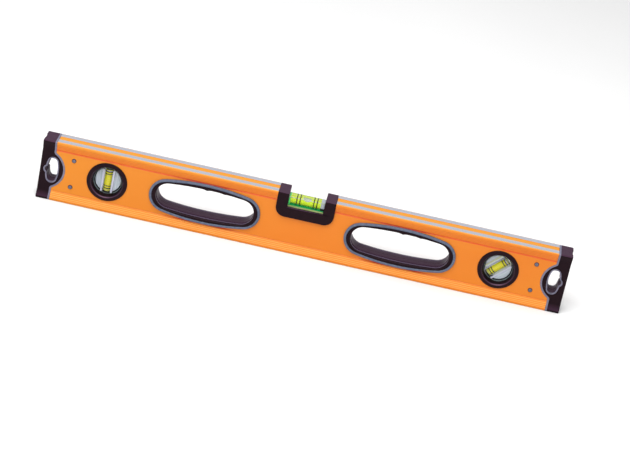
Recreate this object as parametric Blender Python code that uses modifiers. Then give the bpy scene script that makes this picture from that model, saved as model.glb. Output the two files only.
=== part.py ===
"""Spirit level: an aluminium box beam with end caps, hand grips and three vials.

Metres, +Z up. X runs along the beam, the front faces -Y, and the origin is at
the middle of the lower measuring face.
"""

from math import acos, atan2, cos, pi, radians, sin, sqrt

import bmesh
import bpy
from mathutils import Matrix

MM = 0.001
GAP = 0.3 * MM  # between neighbouring pieces
SMALL_GAP = 0.2 * MM  # between the small pieces inside a vial
BEYOND = 5 * MM  # how far a cutter reaches past what it cuts
OVERLAP = 1 * MM  # of shapes that are joined
TOLERANCE = 0.001 * MM
SHARP = radians(35)  # edges sharper than this stay sharp

# Segments of a full circle
LARGE_CIRCLE = 48
MEDIUM_CIRCLE = 32
SMALL_CIRCLE = 24
TINY_CIRCLE = 16
RIVET_CIRCLE = 12
BUBBLE_GRID = (14, 8)  # round and along
EDGE_STEPS = 2  # on rounded edges

# Whole level
LENGTH = 600 * MM
HEIGHT = 72 * MM
FLANGE_WIDTH = 26 * MM  # across the measuring faces
WEB_WIDTH = 20 * MM  # across the flat sides
MID_HEIGHT = HEIGHT / 2

# Beam section
LIP_HEIGHT = 3.2 * MM
SLOPE_TOP = 10.7 * MM
EDGE_RADIUS = 1.5 * MM
RECESS_HALF = 4 * MM  # painted strip between the two milled ones
RECESS_DEPTH = 0.6 * MM
RIB_COUNT = 4
RIB_DEPTH = 0.35 * MM
WALL = 2 * MM
RIB_WALL = 1.8 * MM  # walls between the three chambers
CHAMBER_SHOULDER = 3.8 * MM  # height where the lower chamber starts to narrow
CHAMBER_TOP = 10.8 * MM

# Ends
BEAM_END = 284 * MM
GASKET_START = 284.2 * MM
GASKET_END = 286.2 * MM
CAP_FACE = 286.4 * MM
EAR_CENTRE = 295.9 * MM
EAR_NOTCH_RADIUS = 24.7 * MM
EAR_RIM_WIDTH = 2 * MM
TONGUE_START = 256 * MM
TONGUE_WALL = 3 * MM
TONGUE_HOLLOW_END = 271 * MM
CAP_EDGE = 1.3 * MM
HANG_HOLE_X = 286 * MM
HANG_HOLE = (16 * MM, 7.8 * MM, 6.5 * MM)  # half height, half width, end radius
HANG_HOLE_STEPS = (8, 3)  # in the end and side arcs
HANG_RIM_WIDTH = 1.4 * MM
HANG_RIM_DEPTH = 2 * MM
LOBE_X = 290.8 * MM
LOBE_RADIUS = 5.4 * MM
END_CHANNEL_WIDTH = 12 * MM
END_CHANNEL_DEPTH = 1 * MM
RIVET_X = 263 * MM
RIVET_HEIGHTS = (20 * MM, 52.5 * MM)
RIVET_HEAD_RADIUS = 2.6 * MM
RIVET_HEAD_HEIGHT = 1.1 * MM
RIVET_SHANK_RADIUS = 1.6 * MM
RIVET_DEPTH = 6 * MM
RIVET_SEAT = 0.05 * MM  # gap under the head

# Hand grips: ovals are given as half length, half height and end radius
GRIP_X = 111.2 * MM
GRIP_RIM = (63.35 * MM, 24.35 * MM, 20 * MM)
GRIP_RIM_WIDTH = 2.9 * MM
GRIP_RIM_COVER = 1.5 * MM  # how far the rim laps over the edge of the beam's hole
GRIP_OPENING = (56 * MM, 17.7 * MM, 15.5 * MM)
GRIP_WAIST = (55.2 * MM, 17.1 * MM, 15 * MM)
GRIP_FRONT = 12.4 * MM
GRIP_RIM_FRONT = 12.6 * MM

# Vials
TUBE_GAP = 0.15 * MM
RING_WALL = 0.25 * MM
LEVEL_CENTRE_HEIGHT = 60.85 * MM
HOLDER_WIDTH = 65.5 * MM
HOLDER_BOTTOM = 43 * MM
HOLDER_FLOOR = 55.2 * MM
HOLDER_WINDOW = 41 * MM
HOLDER_DEPTH = 25 * MM
HOLDER_RADIUS = 11 * MM
HOLDER_CORNER_STEPS = 6
LEVEL_BLOCK = (40.4 * MM, 12.4 * MM, 10.7 * MM)  # along x, y and z
LEVEL_FOOT_HALF = 10.5 * MM  # along y
LEVEL_FOOT_THICKNESS = 1.4 * MM
LEVEL_BORE_RADIUS = 4.55 * MM
LEVEL_END_WALL = 1.4 * MM
LEVEL_PLUG_LENGTH = 4 * MM
LEVEL_MARKS = (7.8 * MM, 11.45 * MM)
LEVEL_BUBBLE = (2.3 * MM, 10.6 * MM)  # radius and length
LEVEL_BUBBLE_RISE = 1.6 * MM

ROUND_VIAL_X = 223 * MM
BEZEL_RADIUS = 23.1 * MM
BEZEL_BORE_RADIUS = 21.5 * MM  # in the beam's web
BEZEL_CREST = 12 * MM
BEZEL_CREST_RADIUS = 18.9 * MM
BEZEL_SHOULDER = (22.3 * MM, 11.4 * MM)  # radius and height
BEZEL_SIDE = 10.7 * MM  # height of the rounded edge's start
REFLECTOR_RADIUS = 15.5 * MM  # inside
REFLECTOR_WALL = 0.5 * MM
REFLECTOR_FRONT = 6.8 * MM
REFLECTOR_BACK = 4.6 * MM
REFLECTOR_BASE = 5.4 * MM  # height up to which the ring is whole
REFLECTOR_NOTCH_HALF = 8.6 * MM  # room for the bar's ends
LEDGE_RADIUS = 15.8 * MM
LEDGE_FRONT = 3.6 * MM
DISC_RADIUS = 14.4 * MM
DISC_THICKNESS = 8 * MM
DISC_FLANGE_RADIUS = 16.8 * MM
DISC_FLANGE_HALF = 1 * MM
BAR_HALF = (6.9 * MM, 7.3 * MM, 13.6 * MM)  # across, front to back, and along the tube
BORE_RADIUS = 4.75 * MM
BORE_END_WALL = 0.9 * MM
PLUG_LENGTH = 2 * MM
ROUND_MARKS = (7.2 * MM, 10.1 * MM)
ROUND_BUBBLE = (3.5 * MM, 3 * MM)
CHANNEL_FLOOR = 1 * MM  # liquid below a bubble's channel

FACING_FRONT = (radians(90), 0, 0)  # an outline in x and z, thickness along y
FACING_REAR = (radians(-90), 0, 0)
END_ON = (radians(90), 0, radians(90))  # an outline in y and z, thickness along x
ALONG_X = (0, radians(90), 0)  # local z along x
FORTY_FIVE = (0, radians(45), 0)


# ---------------------------------------------------------------- helpers


def clear_scene():
    for old in list(bpy.data.objects):
        bpy.data.objects.remove(old, do_unlink=True)


def new_collection(name):
    collection = bpy.data.collections.new(name)
    bpy.context.scene.collection.children.link(collection)
    return collection


def make_material(name, colour, roughness, metallic=0.0):
    material = bpy.data.materials.new(name)
    material.use_nodes = True
    surface = material.node_tree.nodes["Principled BSDF"]
    surface.inputs["Base Color"].default_value = (*colour, 1)
    surface.inputs["Roughness"].default_value = roughness
    surface.inputs["Metallic"].default_value = metallic
    return material


def add_part(name, mesh, material, location=(0, 0, 0), rotation=(0, 0, 0), parent=None):
    """A named piece of the level, shaded smooth between its sharp edges."""
    mesh.name = name
    mesh.shade_smooth()
    mesh.set_sharp_from_angle(angle=SHARP)
    if not mesh.materials:
        mesh.materials.append(material)
    part = bpy.data.objects.new(name, mesh)
    part.location = location
    part.rotation_euler = rotation
    part.parent = parent
    PARTS.objects.link(part)
    return part


def add_cutter(name, mesh, location=(0, 0, 0), rotation=(0, 0, 0), parent=None):
    cutter = bpy.data.objects.new(name, mesh)
    cutter.location = location
    cutter.rotation_euler = rotation
    cutter.parent = parent
    cutter.hide_render = True
    cutter.display_type = "WIRE"
    CUTTERS.objects.link(cutter)
    return cutter


def combine(part, other, operation):
    step = part.modifiers.new(f"{operation} {other.name}", "BOOLEAN")
    step.operation = operation
    step.solver = "EXACT"
    step.object = other


def cut(part, *cutters):
    for cutter in cutters:
        combine(part, cutter, "DIFFERENCE")


def join(part, *others):
    for other in others:
        combine(part, other, "UNION")


def tidy_mesh(mesh):
    """Welds loose caps and turns every face outwards."""
    shape = bmesh.new()
    shape.from_mesh(mesh)
    bmesh.ops.remove_doubles(shape, verts=shape.verts, dist=TOLERANCE)
    bmesh.ops.recalc_face_normals(shape, faces=shape.faces)
    shape.to_mesh(mesh)
    shape.free()
    return mesh


def evaluated_mesh(source):
    """The finished mesh of a curve or of an object with modifiers, which is then removed."""
    bpy.context.scene.collection.objects.link(source)
    graph = bpy.context.evaluated_depsgraph_get()
    mesh = bpy.data.meshes.new_from_object(source.evaluated_get(graph))
    bpy.data.objects.remove(source)
    return tidy_mesh(mesh)


def plate(outlines, thickness):
    """Flat outlines filled and thickened along local z; inner outlines are holes."""
    curve = bpy.data.curves.new("outline", "CURVE")
    curve.dimensions = "2D"
    curve.fill_mode = "BOTH"
    curve.extrude = thickness / 2
    for outline in outlines:
        spline = curve.splines.new("POLY")
        spline.points.add(len(outline) - 1)
        for point, (across, up) in zip(spline.points, outline):
            point.co = (across, up, 0, 1)
        spline.use_cyclic_u = True
    return evaluated_mesh(bpy.data.objects.new("outline", curve))


def turned(profile, steps):
    """A (radius, height) profile turned once round local z.

    A profile that starts and ends on the axis is closed by it. Any other is a loop.
    """
    mesh = bpy.data.meshes.new("profile")
    points = [(radius, 0, height) for radius, height in profile]
    edges = [(i, i + 1) for i in range(len(points) - 1)]
    if profile[0][0] > 0:
        edges.append((len(points) - 1, 0))
    mesh.from_pydata(points, edges, [])
    lathe = bpy.data.objects.new("profile", mesh)
    screw = lathe.modifiers.new("turn", "SCREW")
    screw.steps = steps
    screw.render_steps = steps
    screw.use_merge_vertices = True
    screw.merge_threshold = TOLERANCE
    return evaluated_mesh(lathe)


def ring(inner, outer, bottom, top, steps):
    return turned([(outer, top), (outer, bottom), (inner, bottom), (inner, top)], steps)


def rod(radius, bottom, top, steps):
    """A cylinder along local z."""
    shape = bmesh.new()
    middle = Matrix.Translation((0, 0, (bottom + top) / 2))
    bmesh.ops.create_cone(
        shape,
        cap_ends=True,
        segments=steps,
        radius1=radius,
        radius2=radius,
        depth=top - bottom,
        matrix=middle,
    )
    mesh = bpy.data.meshes.new("rod")
    shape.to_mesh(mesh)
    shape.free()
    return mesh


def block(x_range, y_range, z_range):
    ranges = (x_range, y_range, z_range)
    centre = [(low + high) / 2 for low, high in ranges]
    size = [high - low for low, high in ranges]
    shape = bmesh.new()
    bmesh.ops.create_cube(shape, matrix=Matrix.LocRotScale(centre, None, size))
    mesh = bpy.data.meshes.new("block")
    shape.to_mesh(mesh)
    shape.free()
    return mesh


def ellipsoid(radius, length):
    """A bubble: round across local z and stretched along it."""
    shape = bmesh.new()
    stretch = Matrix.Diagonal((1, 1, length / (2 * radius), 1))
    around, along = BUBBLE_GRID
    bmesh.ops.create_uvsphere(
        shape, u_segments=around, v_segments=along, radius=radius, matrix=stretch
    )
    mesh = bpy.data.meshes.new("bubble")
    shape.to_mesh(mesh)
    shape.free()
    return mesh


def arc(centre, radius, start, end, steps):
    """Points on an arc, from one angle to another, both ends included."""
    angles = [start + (end - start) * i / steps for i in range(steps + 1)]
    return [(centre[0] + radius * cos(a), centre[1] + radius * sin(a)) for a in angles]


def shrunk(oval, amount):
    """The parallel oval that lies this far inside."""
    return tuple(size - amount for size in oval)


def oval_outline(oval, end_steps=10, side_steps=4):
    """An oval of four arcs that meet smoothly, long along local x."""
    half_length, half_height, end_radius = oval
    end_x = half_length - end_radius
    rise = half_height - end_radius
    side_radius = (end_x**2 + half_height**2 - end_radius**2) / (2 * rise)
    side_centre = half_height - side_radius
    join_angle = atan2(-side_centre, end_x)
    points = arc((end_x, 0), end_radius, -join_angle, join_angle, end_steps)[:-1]
    points += arc((0, side_centre), side_radius, join_angle, pi - join_angle, side_steps)[:-1]
    left = [(-x, -y) for x, y in points]
    return points + left


def lofted(sections):
    """A closed tube through matching outlines; the last section meets the first."""
    count = len(sections[0][1])
    shape = bmesh.new()
    loops = []
    for height, outline in sections:
        loops.append([shape.verts.new((x, y, height)) for x, y in outline])
    for loop, following in zip(loops, loops[1:] + loops[:1]):
        for i in range(count):
            after = (i + 1) % count
            shape.faces.new((loop[i], loop[after], following[after], following[i]))
    mesh = bpy.data.meshes.new("loft")
    shape.to_mesh(mesh)
    shape.free()
    return tidy_mesh(mesh)


# ---------------------------------------------------------------- beam


def section_corner(ribbed):
    """One lower corner of the section: from the recess out to the flat web."""
    half_flange = FLANGE_WIDTH / 2
    half_web = WEB_WIDTH / 2
    points = [(RECESS_HALF, RECESS_DEPTH), (RECESS_HALF, 0)] if ribbed else []
    edge_centre = (half_flange - EDGE_RADIUS, EDGE_RADIUS)
    points += arc(edge_centre, EDGE_RADIUS, -pi / 2, 0, EDGE_STEPS)
    steps = 2 * RIB_COUNT if ribbed else 1
    run = half_web - half_flange
    rise = SLOPE_TOP - LIP_HEIGHT
    slope = sqrt(run**2 + rise**2)
    for i in range(steps + 1):
        depth = RIB_DEPTH if i % 2 and ribbed else 0
        y = half_flange + run * i / steps - depth * rise / slope
        z = LIP_HEIGHT + rise * i / steps + depth * run / slope
        points.append((y, z))
    return points


def section_outline(ribbed):
    """The whole section from its four equal corners."""
    lower_right = section_corner(ribbed)
    upper_right = [(y, HEIGHT - z) for y, z in reversed(lower_right)]
    right = lower_right + upper_right
    left = [(-y, z) for y, z in reversed(right)]
    return right + left


def chamber_outlines():
    """The lower, main and upper hollows of the extrusion."""
    half_web = WEB_WIDTH / 2 - WALL
    half_flange = FLANGE_WIDTH / 2 - WALL
    floor = RECESS_DEPTH + WALL
    main_bottom = CHAMBER_TOP + RIB_WALL
    lower = [
        (-half_flange, floor),
        (half_flange, floor),
        (half_flange, CHAMBER_SHOULDER),
        (half_web, CHAMBER_TOP),
        (-half_web, CHAMBER_TOP),
        (-half_flange, CHAMBER_SHOULDER),
    ]
    upper = [(y, HEIGHT - z) for y, z in reversed(lower)]
    main = [
        (-half_web, main_bottom),
        (half_web, main_bottom),
        (half_web, HEIGHT - main_bottom),
        (-half_web, HEIGHT - main_bottom),
    ]
    return [lower, main, upper]


def holder_outline(margin):
    """The block's outline seen from the front, square at the top and round below."""
    half = HOLDER_WIDTH / 2 + margin
    bottom = HOLDER_BOTTOM - margin
    radius = HOLDER_RADIUS + margin
    height = bottom + radius
    right = arc((half - radius, height), radius, -pi / 2, 0, HOLDER_CORNER_STEPS)
    left = [(-x, z) for x, z in reversed(right)]
    return right, left


def make_beam():
    outlines = [section_outline(ribbed=True)] + chamber_outlines()
    beam = add_part("beam", plate(outlines, 2 * BEAM_END), PAINT, rotation=END_ON)
    through = 2 * FLANGE_WIDTH
    grip_hole = plate([oval_outline(shrunk(GRIP_RIM, GRIP_RIM_COVER))], through)
    vial_hole = rod(BEZEL_BORE_RADIUS, -through / 2, through / 2, MEDIUM_CIRCLE)
    ear_hole = rod(EAR_NOTCH_RADIUS, -through / 2, through / 2, LARGE_CIRCLE)
    rivet_hole = rod(RIVET_SHANK_RADIUS + GAP, -through / 2, through / 2, RIVET_CIRCLE)
    for side in (-1, 1):
        places = [
            ("grip_hole", grip_hole, side * GRIP_X, MID_HEIGHT),
            ("vial_hole", vial_hole, side * ROUND_VIAL_X, MID_HEIGHT),
            ("ear_hole", ear_hole, side * EAR_CENTRE, MID_HEIGHT),
        ]
        places += [("rivet_hole", rivet_hole, side * RIVET_X, z) for z in RIVET_HEIGHTS]
        for name, mesh, x, z in places:
            cut(beam, add_cutter(name, mesh, (x, 0, z), FACING_FRONT))
    right, left = holder_outline(GAP)
    above = HEIGHT + BEYOND
    notch = right + [(right[-1][0], above), (left[0][0], above)] + left
    cut(beam, add_cutter("holder_notch", plate([notch], through), rotation=FACING_FRONT))


# ---------------------------------------------------------------- ends


def hang_hole(side, shrink, thickness, y):
    """Cutters for the hang hole: a tall oval with a round lobe towards the end."""
    oval = oval_outline(shrunk(HANG_HOLE, shrink), *HANG_HOLE_STEPS)
    tall = [(-up, along) for along, up in oval]
    lobe = rod(LOBE_RADIUS - shrink, -thickness / 2, thickness / 2, TINY_CIRCLE)
    oval_place = (side * HANG_HOLE_X, y, MID_HEIGHT)
    lobe_place = (side * LOBE_X, y, MID_HEIGHT)
    return (
        add_cutter("hang_oval", plate([tall], thickness), oval_place, FACING_FRONT),
        add_cutter("hang_lobe", lobe, lobe_place, FACING_FRONT),
    )


def ear_plate(side, radius, thickness, limit):
    """The part of a disc round the ear's centre that lies inside of x = limit."""
    start = acos((limit - EAR_CENTRE) / radius)
    outline = arc((0, 0), radius, start, 2 * pi - start, LARGE_CIRCLE // 2)
    mesh = plate([[(side * x, z) for x, z in outline]], thickness)
    return add_cutter("ear", mesh, (side * EAR_CENTRE, 0, MID_HEIGHT), FACING_FRONT)


def end_block(side, start, end, half_width, margin):
    """A box for the cap's tongue or the room round it, in the beam's main chamber."""
    bottom = SLOPE_TOP + RIB_WALL + margin
    x_range = sorted((side * start, side * end))
    y_range = (-half_width, half_width)
    return block(x_range, y_range, (bottom, HEIGHT - bottom))


def make_end_cap(side, name):
    depth = LENGTH / 2 - CAP_FACE
    mesh = plate([section_outline(ribbed=False)], depth)
    soften_end(mesh, side * depth / 2)
    cap = add_part(
        f"{name}_end_cap", mesh, BLACK, (side * (CAP_FACE + depth / 2), 0, 0), END_ON
    )
    joined = CAP_FACE + OVERLAP
    ear_radius = EAR_NOTCH_RADIUS - EAR_RIM_WIDTH - GAP
    ear = ear_plate(side, ear_radius, WEB_WIDTH - SMALL_GAP, joined)
    half_tongue = WEB_WIDTH / 2 - WALL - GAP
    tongue = end_block(side, TONGUE_START, joined, half_tongue, 2 * GAP)
    join(cap, ear, add_cutter("tongue", tongue))

    hollow_start = TONGUE_START - BEYOND
    half_hollow = half_tongue - TONGUE_WALL
    hollow = end_block(side, hollow_start, TONGUE_HOLLOW_END, half_hollow, TONGUE_WALL)
    channel = block(
        sorted((side * (LENGTH / 2 - END_CHANNEL_DEPTH), side * LENGTH)),
        (-END_CHANNEL_WIDTH / 2, END_CHANNEL_WIDTH / 2),
        (-HEIGHT, 2 * HEIGHT),
    )
    cut(cap, add_cutter("hollow", hollow), add_cutter("channel", channel))
    cut(cap, *hang_hole(side, HANG_RIM_WIDTH, 2 * FLANGE_WIDTH, 0))
    pocket_y = WEB_WIDTH / 2
    for y in (-pocket_y, pocket_y):
        cut(cap, *hang_hole(side, 0, 2 * HANG_RIM_DEPTH, y))
    for z in RIVET_HEIGHTS:
        bore = rod(RIVET_SHANK_RADIUS + GAP, -WEB_WIDTH, WEB_WIDTH, RIVET_CIRCLE)
        cut(cap, add_cutter("rivet_bore", bore, (side * RIVET_X, 0, z), FACING_FRONT))


def soften_end(mesh, end):
    """Bevels the edges round the face at this local height."""
    shape = bmesh.new()
    shape.from_mesh(mesh)
    edges = [
        edge
        for edge in shape.edges
        if all(abs(corner.co.z - end) < TOLERANCE for corner in edge.verts)
        and len({round(face.normal.z, 1) for face in edge.link_faces}) == 2
    ]
    bmesh.ops.bevel(
        shape, geom=edges, offset=CAP_EDGE, segments=EDGE_STEPS, profile=0.5, affect="EDGES"
    )
    shape.to_mesh(mesh)
    shape.free()


def make_gasket(side, name):
    thickness = GASKET_END - GASKET_START
    mesh = plate([section_outline(ribbed=False)], thickness)
    middle = (GASKET_START + GASKET_END) / 2
    gasket = add_part(f"{name}_cap_gasket", mesh, GREY, (side * middle, 0, 0), END_ON)
    outer = ear_plate(side, EAR_NOTCH_RADIUS - GAP, WEB_WIDTH + 2 * SMALL_GAP, middle)
    inner = rod(EAR_NOTCH_RADIUS - EAR_RIM_WIDTH, -WEB_WIDTH, WEB_WIDTH, LARGE_CIRCLE)
    room = end_block(side, TONGUE_START, LENGTH / 2, WEB_WIDTH / 2 - WALL, GAP)
    join(gasket, outer)
    ear_place = (side * EAR_CENTRE, 0, MID_HEIGHT)
    cut(gasket, add_cutter("ear_room", inner, ear_place, FACING_FRONT))
    cut(gasket, add_cutter("tongue_room", room))


def make_hang_rim(side, name, facing):
    """A soft rim let into the cap's face; facing is -1 at the front and 1 at the rear."""
    y = facing * (WEB_WIDTH / 2 - HANG_RIM_DEPTH / 2 + SMALL_GAP)
    oval = oval_outline(shrunk(HANG_HOLE, SMALL_GAP), *HANG_HOLE_STEPS)
    tall = [(-up, along) for along, up in oval]
    mesh = plate([tall], HANG_RIM_DEPTH)
    place = (side * HANG_HOLE_X, y, MID_HEIGHT)
    rim = add_part(f"{name}_rim", mesh, GREY, place, FACING_FRONT)
    half_depth = HANG_RIM_DEPTH / 2
    lobe = rod(LOBE_RADIUS - SMALL_GAP, -half_depth, half_depth, TINY_CIRCLE)
    lobe_place = (side * LOBE_X, y, MID_HEIGHT)
    join(rim, add_cutter("rim_lobe", lobe, lobe_place, FACING_FRONT))
    cut(rim, *hang_hole(side, HANG_RIM_WIDTH, 3 * HANG_RIM_DEPTH, y))


def make_rivets():
    """Domed rivets on both faces at both ends, through the beam into the tongue."""
    profile = [
        (0, RIVET_HEAD_HEIGHT),
        (0.6 * RIVET_HEAD_RADIUS, 0.8 * RIVET_HEAD_HEIGHT),
        (RIVET_HEAD_RADIUS, 0.25 * RIVET_HEAD_HEIGHT),
        (RIVET_HEAD_RADIUS, RIVET_SEAT),
        (RIVET_SHANK_RADIUS, RIVET_SEAT),
        (RIVET_SHANK_RADIUS, -RIVET_DEPTH),
        (0, -RIVET_DEPTH),
    ]
    mesh = turned(profile, RIVET_CIRCLE)
    levels = dict(zip(("lower", "upper"), RIVET_HEIGHTS))
    for side, name in SIDES:
        for facing, face, rotation in FACES:
            for level, z in levels.items():
                place = (side * RIVET_X, facing * WEB_WIDTH / 2, z)
                add_part(f"{name}_{face}_{level}_rivet", mesh, STEEL, place, rotation)


# ---------------------------------------------------------------- hand grips


def make_grips():
    lip = oval_outline(shrunk(GRIP_RIM, GRIP_RIM_WIDTH + GAP))
    sleeve = oval_outline(shrunk(GRIP_RIM, GRIP_RIM_COVER + GAP))
    shoulder = WEB_WIDTH / 2 - SMALL_GAP
    liner = lofted(
        [
            (GRIP_FRONT, lip),
            (GRIP_FRONT, oval_outline(GRIP_OPENING)),
            (GAP / 2, oval_outline(GRIP_WAIST)),
            (GAP / 2, sleeve),
            (shoulder, sleeve),
            (shoulder, lip),
        ]
    )
    rim_back = WEB_WIDTH / 2 + SMALL_GAP
    rim_outlines = [oval_outline(GRIP_RIM), oval_outline(shrunk(GRIP_RIM, GRIP_RIM_WIDTH))]
    rim = plate(rim_outlines, GRIP_RIM_FRONT - rim_back)
    for side, name in SIDES:
        for facing, face, rotation in FACES:
            centre = (side * GRIP_X, 0, MID_HEIGHT)
            rim_centre = (side * GRIP_X, facing * (GRIP_RIM_FRONT + rim_back) / 2, MID_HEIGHT)
            add_part(f"{name}_grip_{face}", liner, BLACK, centre, rotation)
            add_part(f"{name}_grip_{face}_rim", rim, GREY, rim_centre, rotation)


# ---------------------------------------------------------------- level vial


def make_level_vial():
    right, left = holder_outline(0)
    half_window = HOLDER_WINDOW / 2
    outline = right + [(right[-1][0], HEIGHT), (half_window, HEIGHT)]
    outline += [(half_window, HOLDER_FLOOR), (-half_window, HOLDER_FLOOR)]
    outline += [(-half_window, HEIGHT), (left[0][0], HEIGHT)] + left
    add_part("level_vial_holder", plate([outline], HOLDER_DEPTH), BLACK, rotation=FACING_FRONT)

    frame = bpy.data.objects.new("level_vial_frame", None)
    frame.location = (0, 0, LEVEL_CENTRE_HEIGHT)
    frame.rotation_euler = ALONG_X
    PARTS.objects.link(frame)

    half_length, half_depth, half_height = (size / 2 for size in LEVEL_BLOCK)
    block_mesh = block(
        (-half_height, half_height), (-half_depth, half_depth), (-half_length, half_length)
    )
    body = add_part("level_vial_body", block_mesh, CLEAR, parent=frame)
    foot = block(
        (half_height - LEVEL_FOOT_THICKNESS, half_height),
        (-LEVEL_FOOT_HALF, LEVEL_FOOT_HALF),
        (-half_length, half_length),
    )
    join(body, add_cutter("level_foot", foot, parent=frame))
    bore_start = LEVEL_END_WALL - half_length
    bore = rod(LEVEL_BORE_RADIUS, bore_start, 2 * half_length, SMALL_CIRCLE)
    cut(body, add_cutter("level_bore", bore, parent=frame))

    plug_start = half_length - LEVEL_PLUG_LENGTH
    plug = rod(LEVEL_BORE_RADIUS - SMALL_GAP, plug_start, half_length, SMALL_CIRCLE)
    add_part("level_vial_plug", plug, WHITE, parent=frame)
    radius = make_marker_rings("level", LEVEL_BORE_RADIUS, LEVEL_MARKS, frame)

    liquid_radius = radius - TUBE_GAP
    channel = LEVEL_BUBBLE[0] + GAP
    opening = acos(channel / liquid_radius)
    outline = arc((0, 0), liquid_radius, opening, -pi - opening, SMALL_CIRCLE)
    outline += arc((0, LEVEL_BUBBLE_RISE), channel, -pi, 0, TINY_CIRCLE // 2)
    start = bore_start + GAP
    end = plug_start - GAP
    place = ((start + end) / 2, 0, LEVEL_CENTRE_HEIGHT)
    add_part("level_vial_liquid", plate([outline], end - start), LIQUID, place, END_ON)
    add_part("level_bubble", ellipsoid(*LEVEL_BUBBLE), AIR, (-LEVEL_BUBBLE_RISE, 0, 0), parent=frame)


def make_marker_rings(name, bore_radius, marks, frame):
    """Four reading rings in a vial's bore; returns their inner radius."""
    outer = bore_radius - TUBE_GAP
    inner = outer - RING_WALL
    mesh = ring(inner, outer, -RING_WALL, RING_WALL, TINY_CIRCLE)
    places = sorted([-mark for mark in marks] + list(marks))
    for number, place in enumerate(places, start=1):
        add_part(f"{name}_marker_ring_{number}", mesh, INK, (0, 0, place), parent=frame)
    return inner


# ---------------------------------------------------------------- round vials


def make_bezels(x, name):
    """The turned rings that clamp a round vial at the front and the rear."""
    sleeve = BEZEL_BORE_RADIUS - GAP
    groove = DISC_FLANGE_RADIUS + GAP
    seat = REFLECTOR_RADIUS + REFLECTOR_WALL + GAP
    bezel = turned(
        [
            (BEZEL_CREST_RADIUS, BEZEL_CREST),
            BEZEL_SHOULDER,
            (BEZEL_RADIUS, BEZEL_SIDE),
            (BEZEL_RADIUS, WEB_WIDTH / 2 + SMALL_GAP),
            (sleeve, WEB_WIDTH / 2 + SMALL_GAP),
            (sleeve, GAP / 2),
            (groove, GAP / 2),
            (groove, DISC_FLANGE_HALF + GAP),
            (LEDGE_RADIUS, DISC_FLANGE_HALF + GAP),
            (LEDGE_RADIUS, LEDGE_FRONT),
            (seat, REFLECTOR_BACK - GAP),
            (seat, REFLECTOR_FRONT),
        ],
        MEDIUM_CIRCLE,
    )
    for _, face, rotation in FACES:
        add_part(f"{name}_vial_{face}_bezel", bezel, BLACK, (x, 0, MID_HEIGHT), rotation)


def make_reflectors(name, frame):
    """Pale rings inside the bezels, notched where the vial's bar ends."""
    outer = REFLECTOR_RADIUS + REFLECTOR_WALL
    notch_half = REFLECTOR_NOTCH_HALF
    for _, face, rotation in FACES:
        mesh = ring(REFLECTOR_RADIUS, outer, REFLECTOR_BACK, REFLECTOR_FRONT, MEDIUM_CIRCLE)
        notch = block(
            (-notch_half, notch_half), (-2 * outer, 2 * outer), (REFLECTOR_BASE, 2 * BEZEL_CREST)
        )
        place = {"rotation": rotation, "parent": frame}
        reflector = add_part(f"{name}_vial_{face}_reflector", mesh, WHITE, **place)
        cut(reflector, add_cutter("reflector_notch", notch, **place))


def make_round_vial(x, name, rotation):
    """A clear disc with a bar across it, bored from the bottom and plugged there."""
    make_bezels(x, name)
    frame = bpy.data.objects.new(f"{name}_vial_frame", None)
    frame.location = (x, 0, MID_HEIGHT)
    frame.rotation_euler = rotation
    PARTS.objects.link(frame)
    make_reflectors(name, frame)

    half = DISC_THICKNESS / 2
    disc = rod(DISC_RADIUS, -half, half, MEDIUM_CIRCLE)
    body = add_part(f"{name}_vial_body", disc, CLEAR, rotation=FACING_FRONT, parent=frame)
    flange = rod(DISC_FLANGE_RADIUS, -DISC_FLANGE_HALF, DISC_FLANGE_HALF, MEDIUM_CIRCLE)
    bar = add_cutter("bar", block(*((-half, half) for half in BAR_HALF)), parent=frame)
    join(body, bar, add_cutter("flange", flange, rotation=FACING_FRONT, parent=frame))
    bar_end = BAR_HALF[2]
    bore_end = bar_end - BORE_END_WALL
    bore = rod(BORE_RADIUS, -2 * bar_end, bore_end, SMALL_CIRCLE)
    cut(body, add_cutter("bore", bore, parent=frame))

    plug_start = SMALL_GAP - bar_end
    plug_end = plug_start + PLUG_LENGTH
    plug = rod(BORE_RADIUS - SMALL_GAP, plug_start, plug_end, SMALL_CIRCLE)
    add_part(f"{name}_vial_plug", plug, WHITE, parent=frame)
    radius = make_marker_rings(name, BORE_RADIUS, ROUND_MARKS, frame)

    bubble_radius, bubble_length = ROUND_BUBBLE
    channel = bubble_radius + GAP
    bottom = plug_end + GAP
    top = bore_end - GAP
    liquid = [
        (0, bottom + CHANNEL_FLOOR),
        (channel, bottom + CHANNEL_FLOOR),
        (channel, top),
        (radius - TUBE_GAP, top),
        (radius - TUBE_GAP, bottom),
        (0, bottom),
    ]
    add_part(f"{name}_vial_liquid", turned(liquid, SMALL_CIRCLE), LIQUID, parent=frame)
    rest = (0, 0, top - bubble_length / 2)
    add_part(f"{name}_bubble", ellipsoid(*ROUND_BUBBLE), AIR, rest, parent=frame)


# ---------------------------------------------------------------- the level

clear_scene()
PARTS = new_collection("spirit_level")
CUTTERS = new_collection("cutters")
SIDES = ((-1, "left"), (1, "right"))
FACES = ((-1, "front", FACING_FRONT), (1, "rear", FACING_REAR))

PAINT = make_material("orange_powder_coat", (0.95, 0.31, 0.04), 0.45)
BLACK = make_material("black_plastic", (0.018, 0.012, 0.015), 0.5)
GREY = make_material("soft_grey", (0.13, 0.15, 0.2), 0.7)
STEEL = make_material("rivet_metal", (0.16, 0.15, 0.19), 0.35, 1.0)
CLEAR = make_material("clear_acrylic", (0.72, 0.78, 0.82), 0.1)
WHITE = make_material("pale_plastic", (0.6, 0.64, 0.68), 0.3)
LIQUID = make_material("yellow_green_liquid", (0.66, 0.66, 0.03), 0.1)
AIR = make_material("air_bubble", (0.55, 0.75, 0.55), 0.05)
INK = make_material("marker_black", (0.05, 0.06, 0.02), 0.5)

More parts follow.
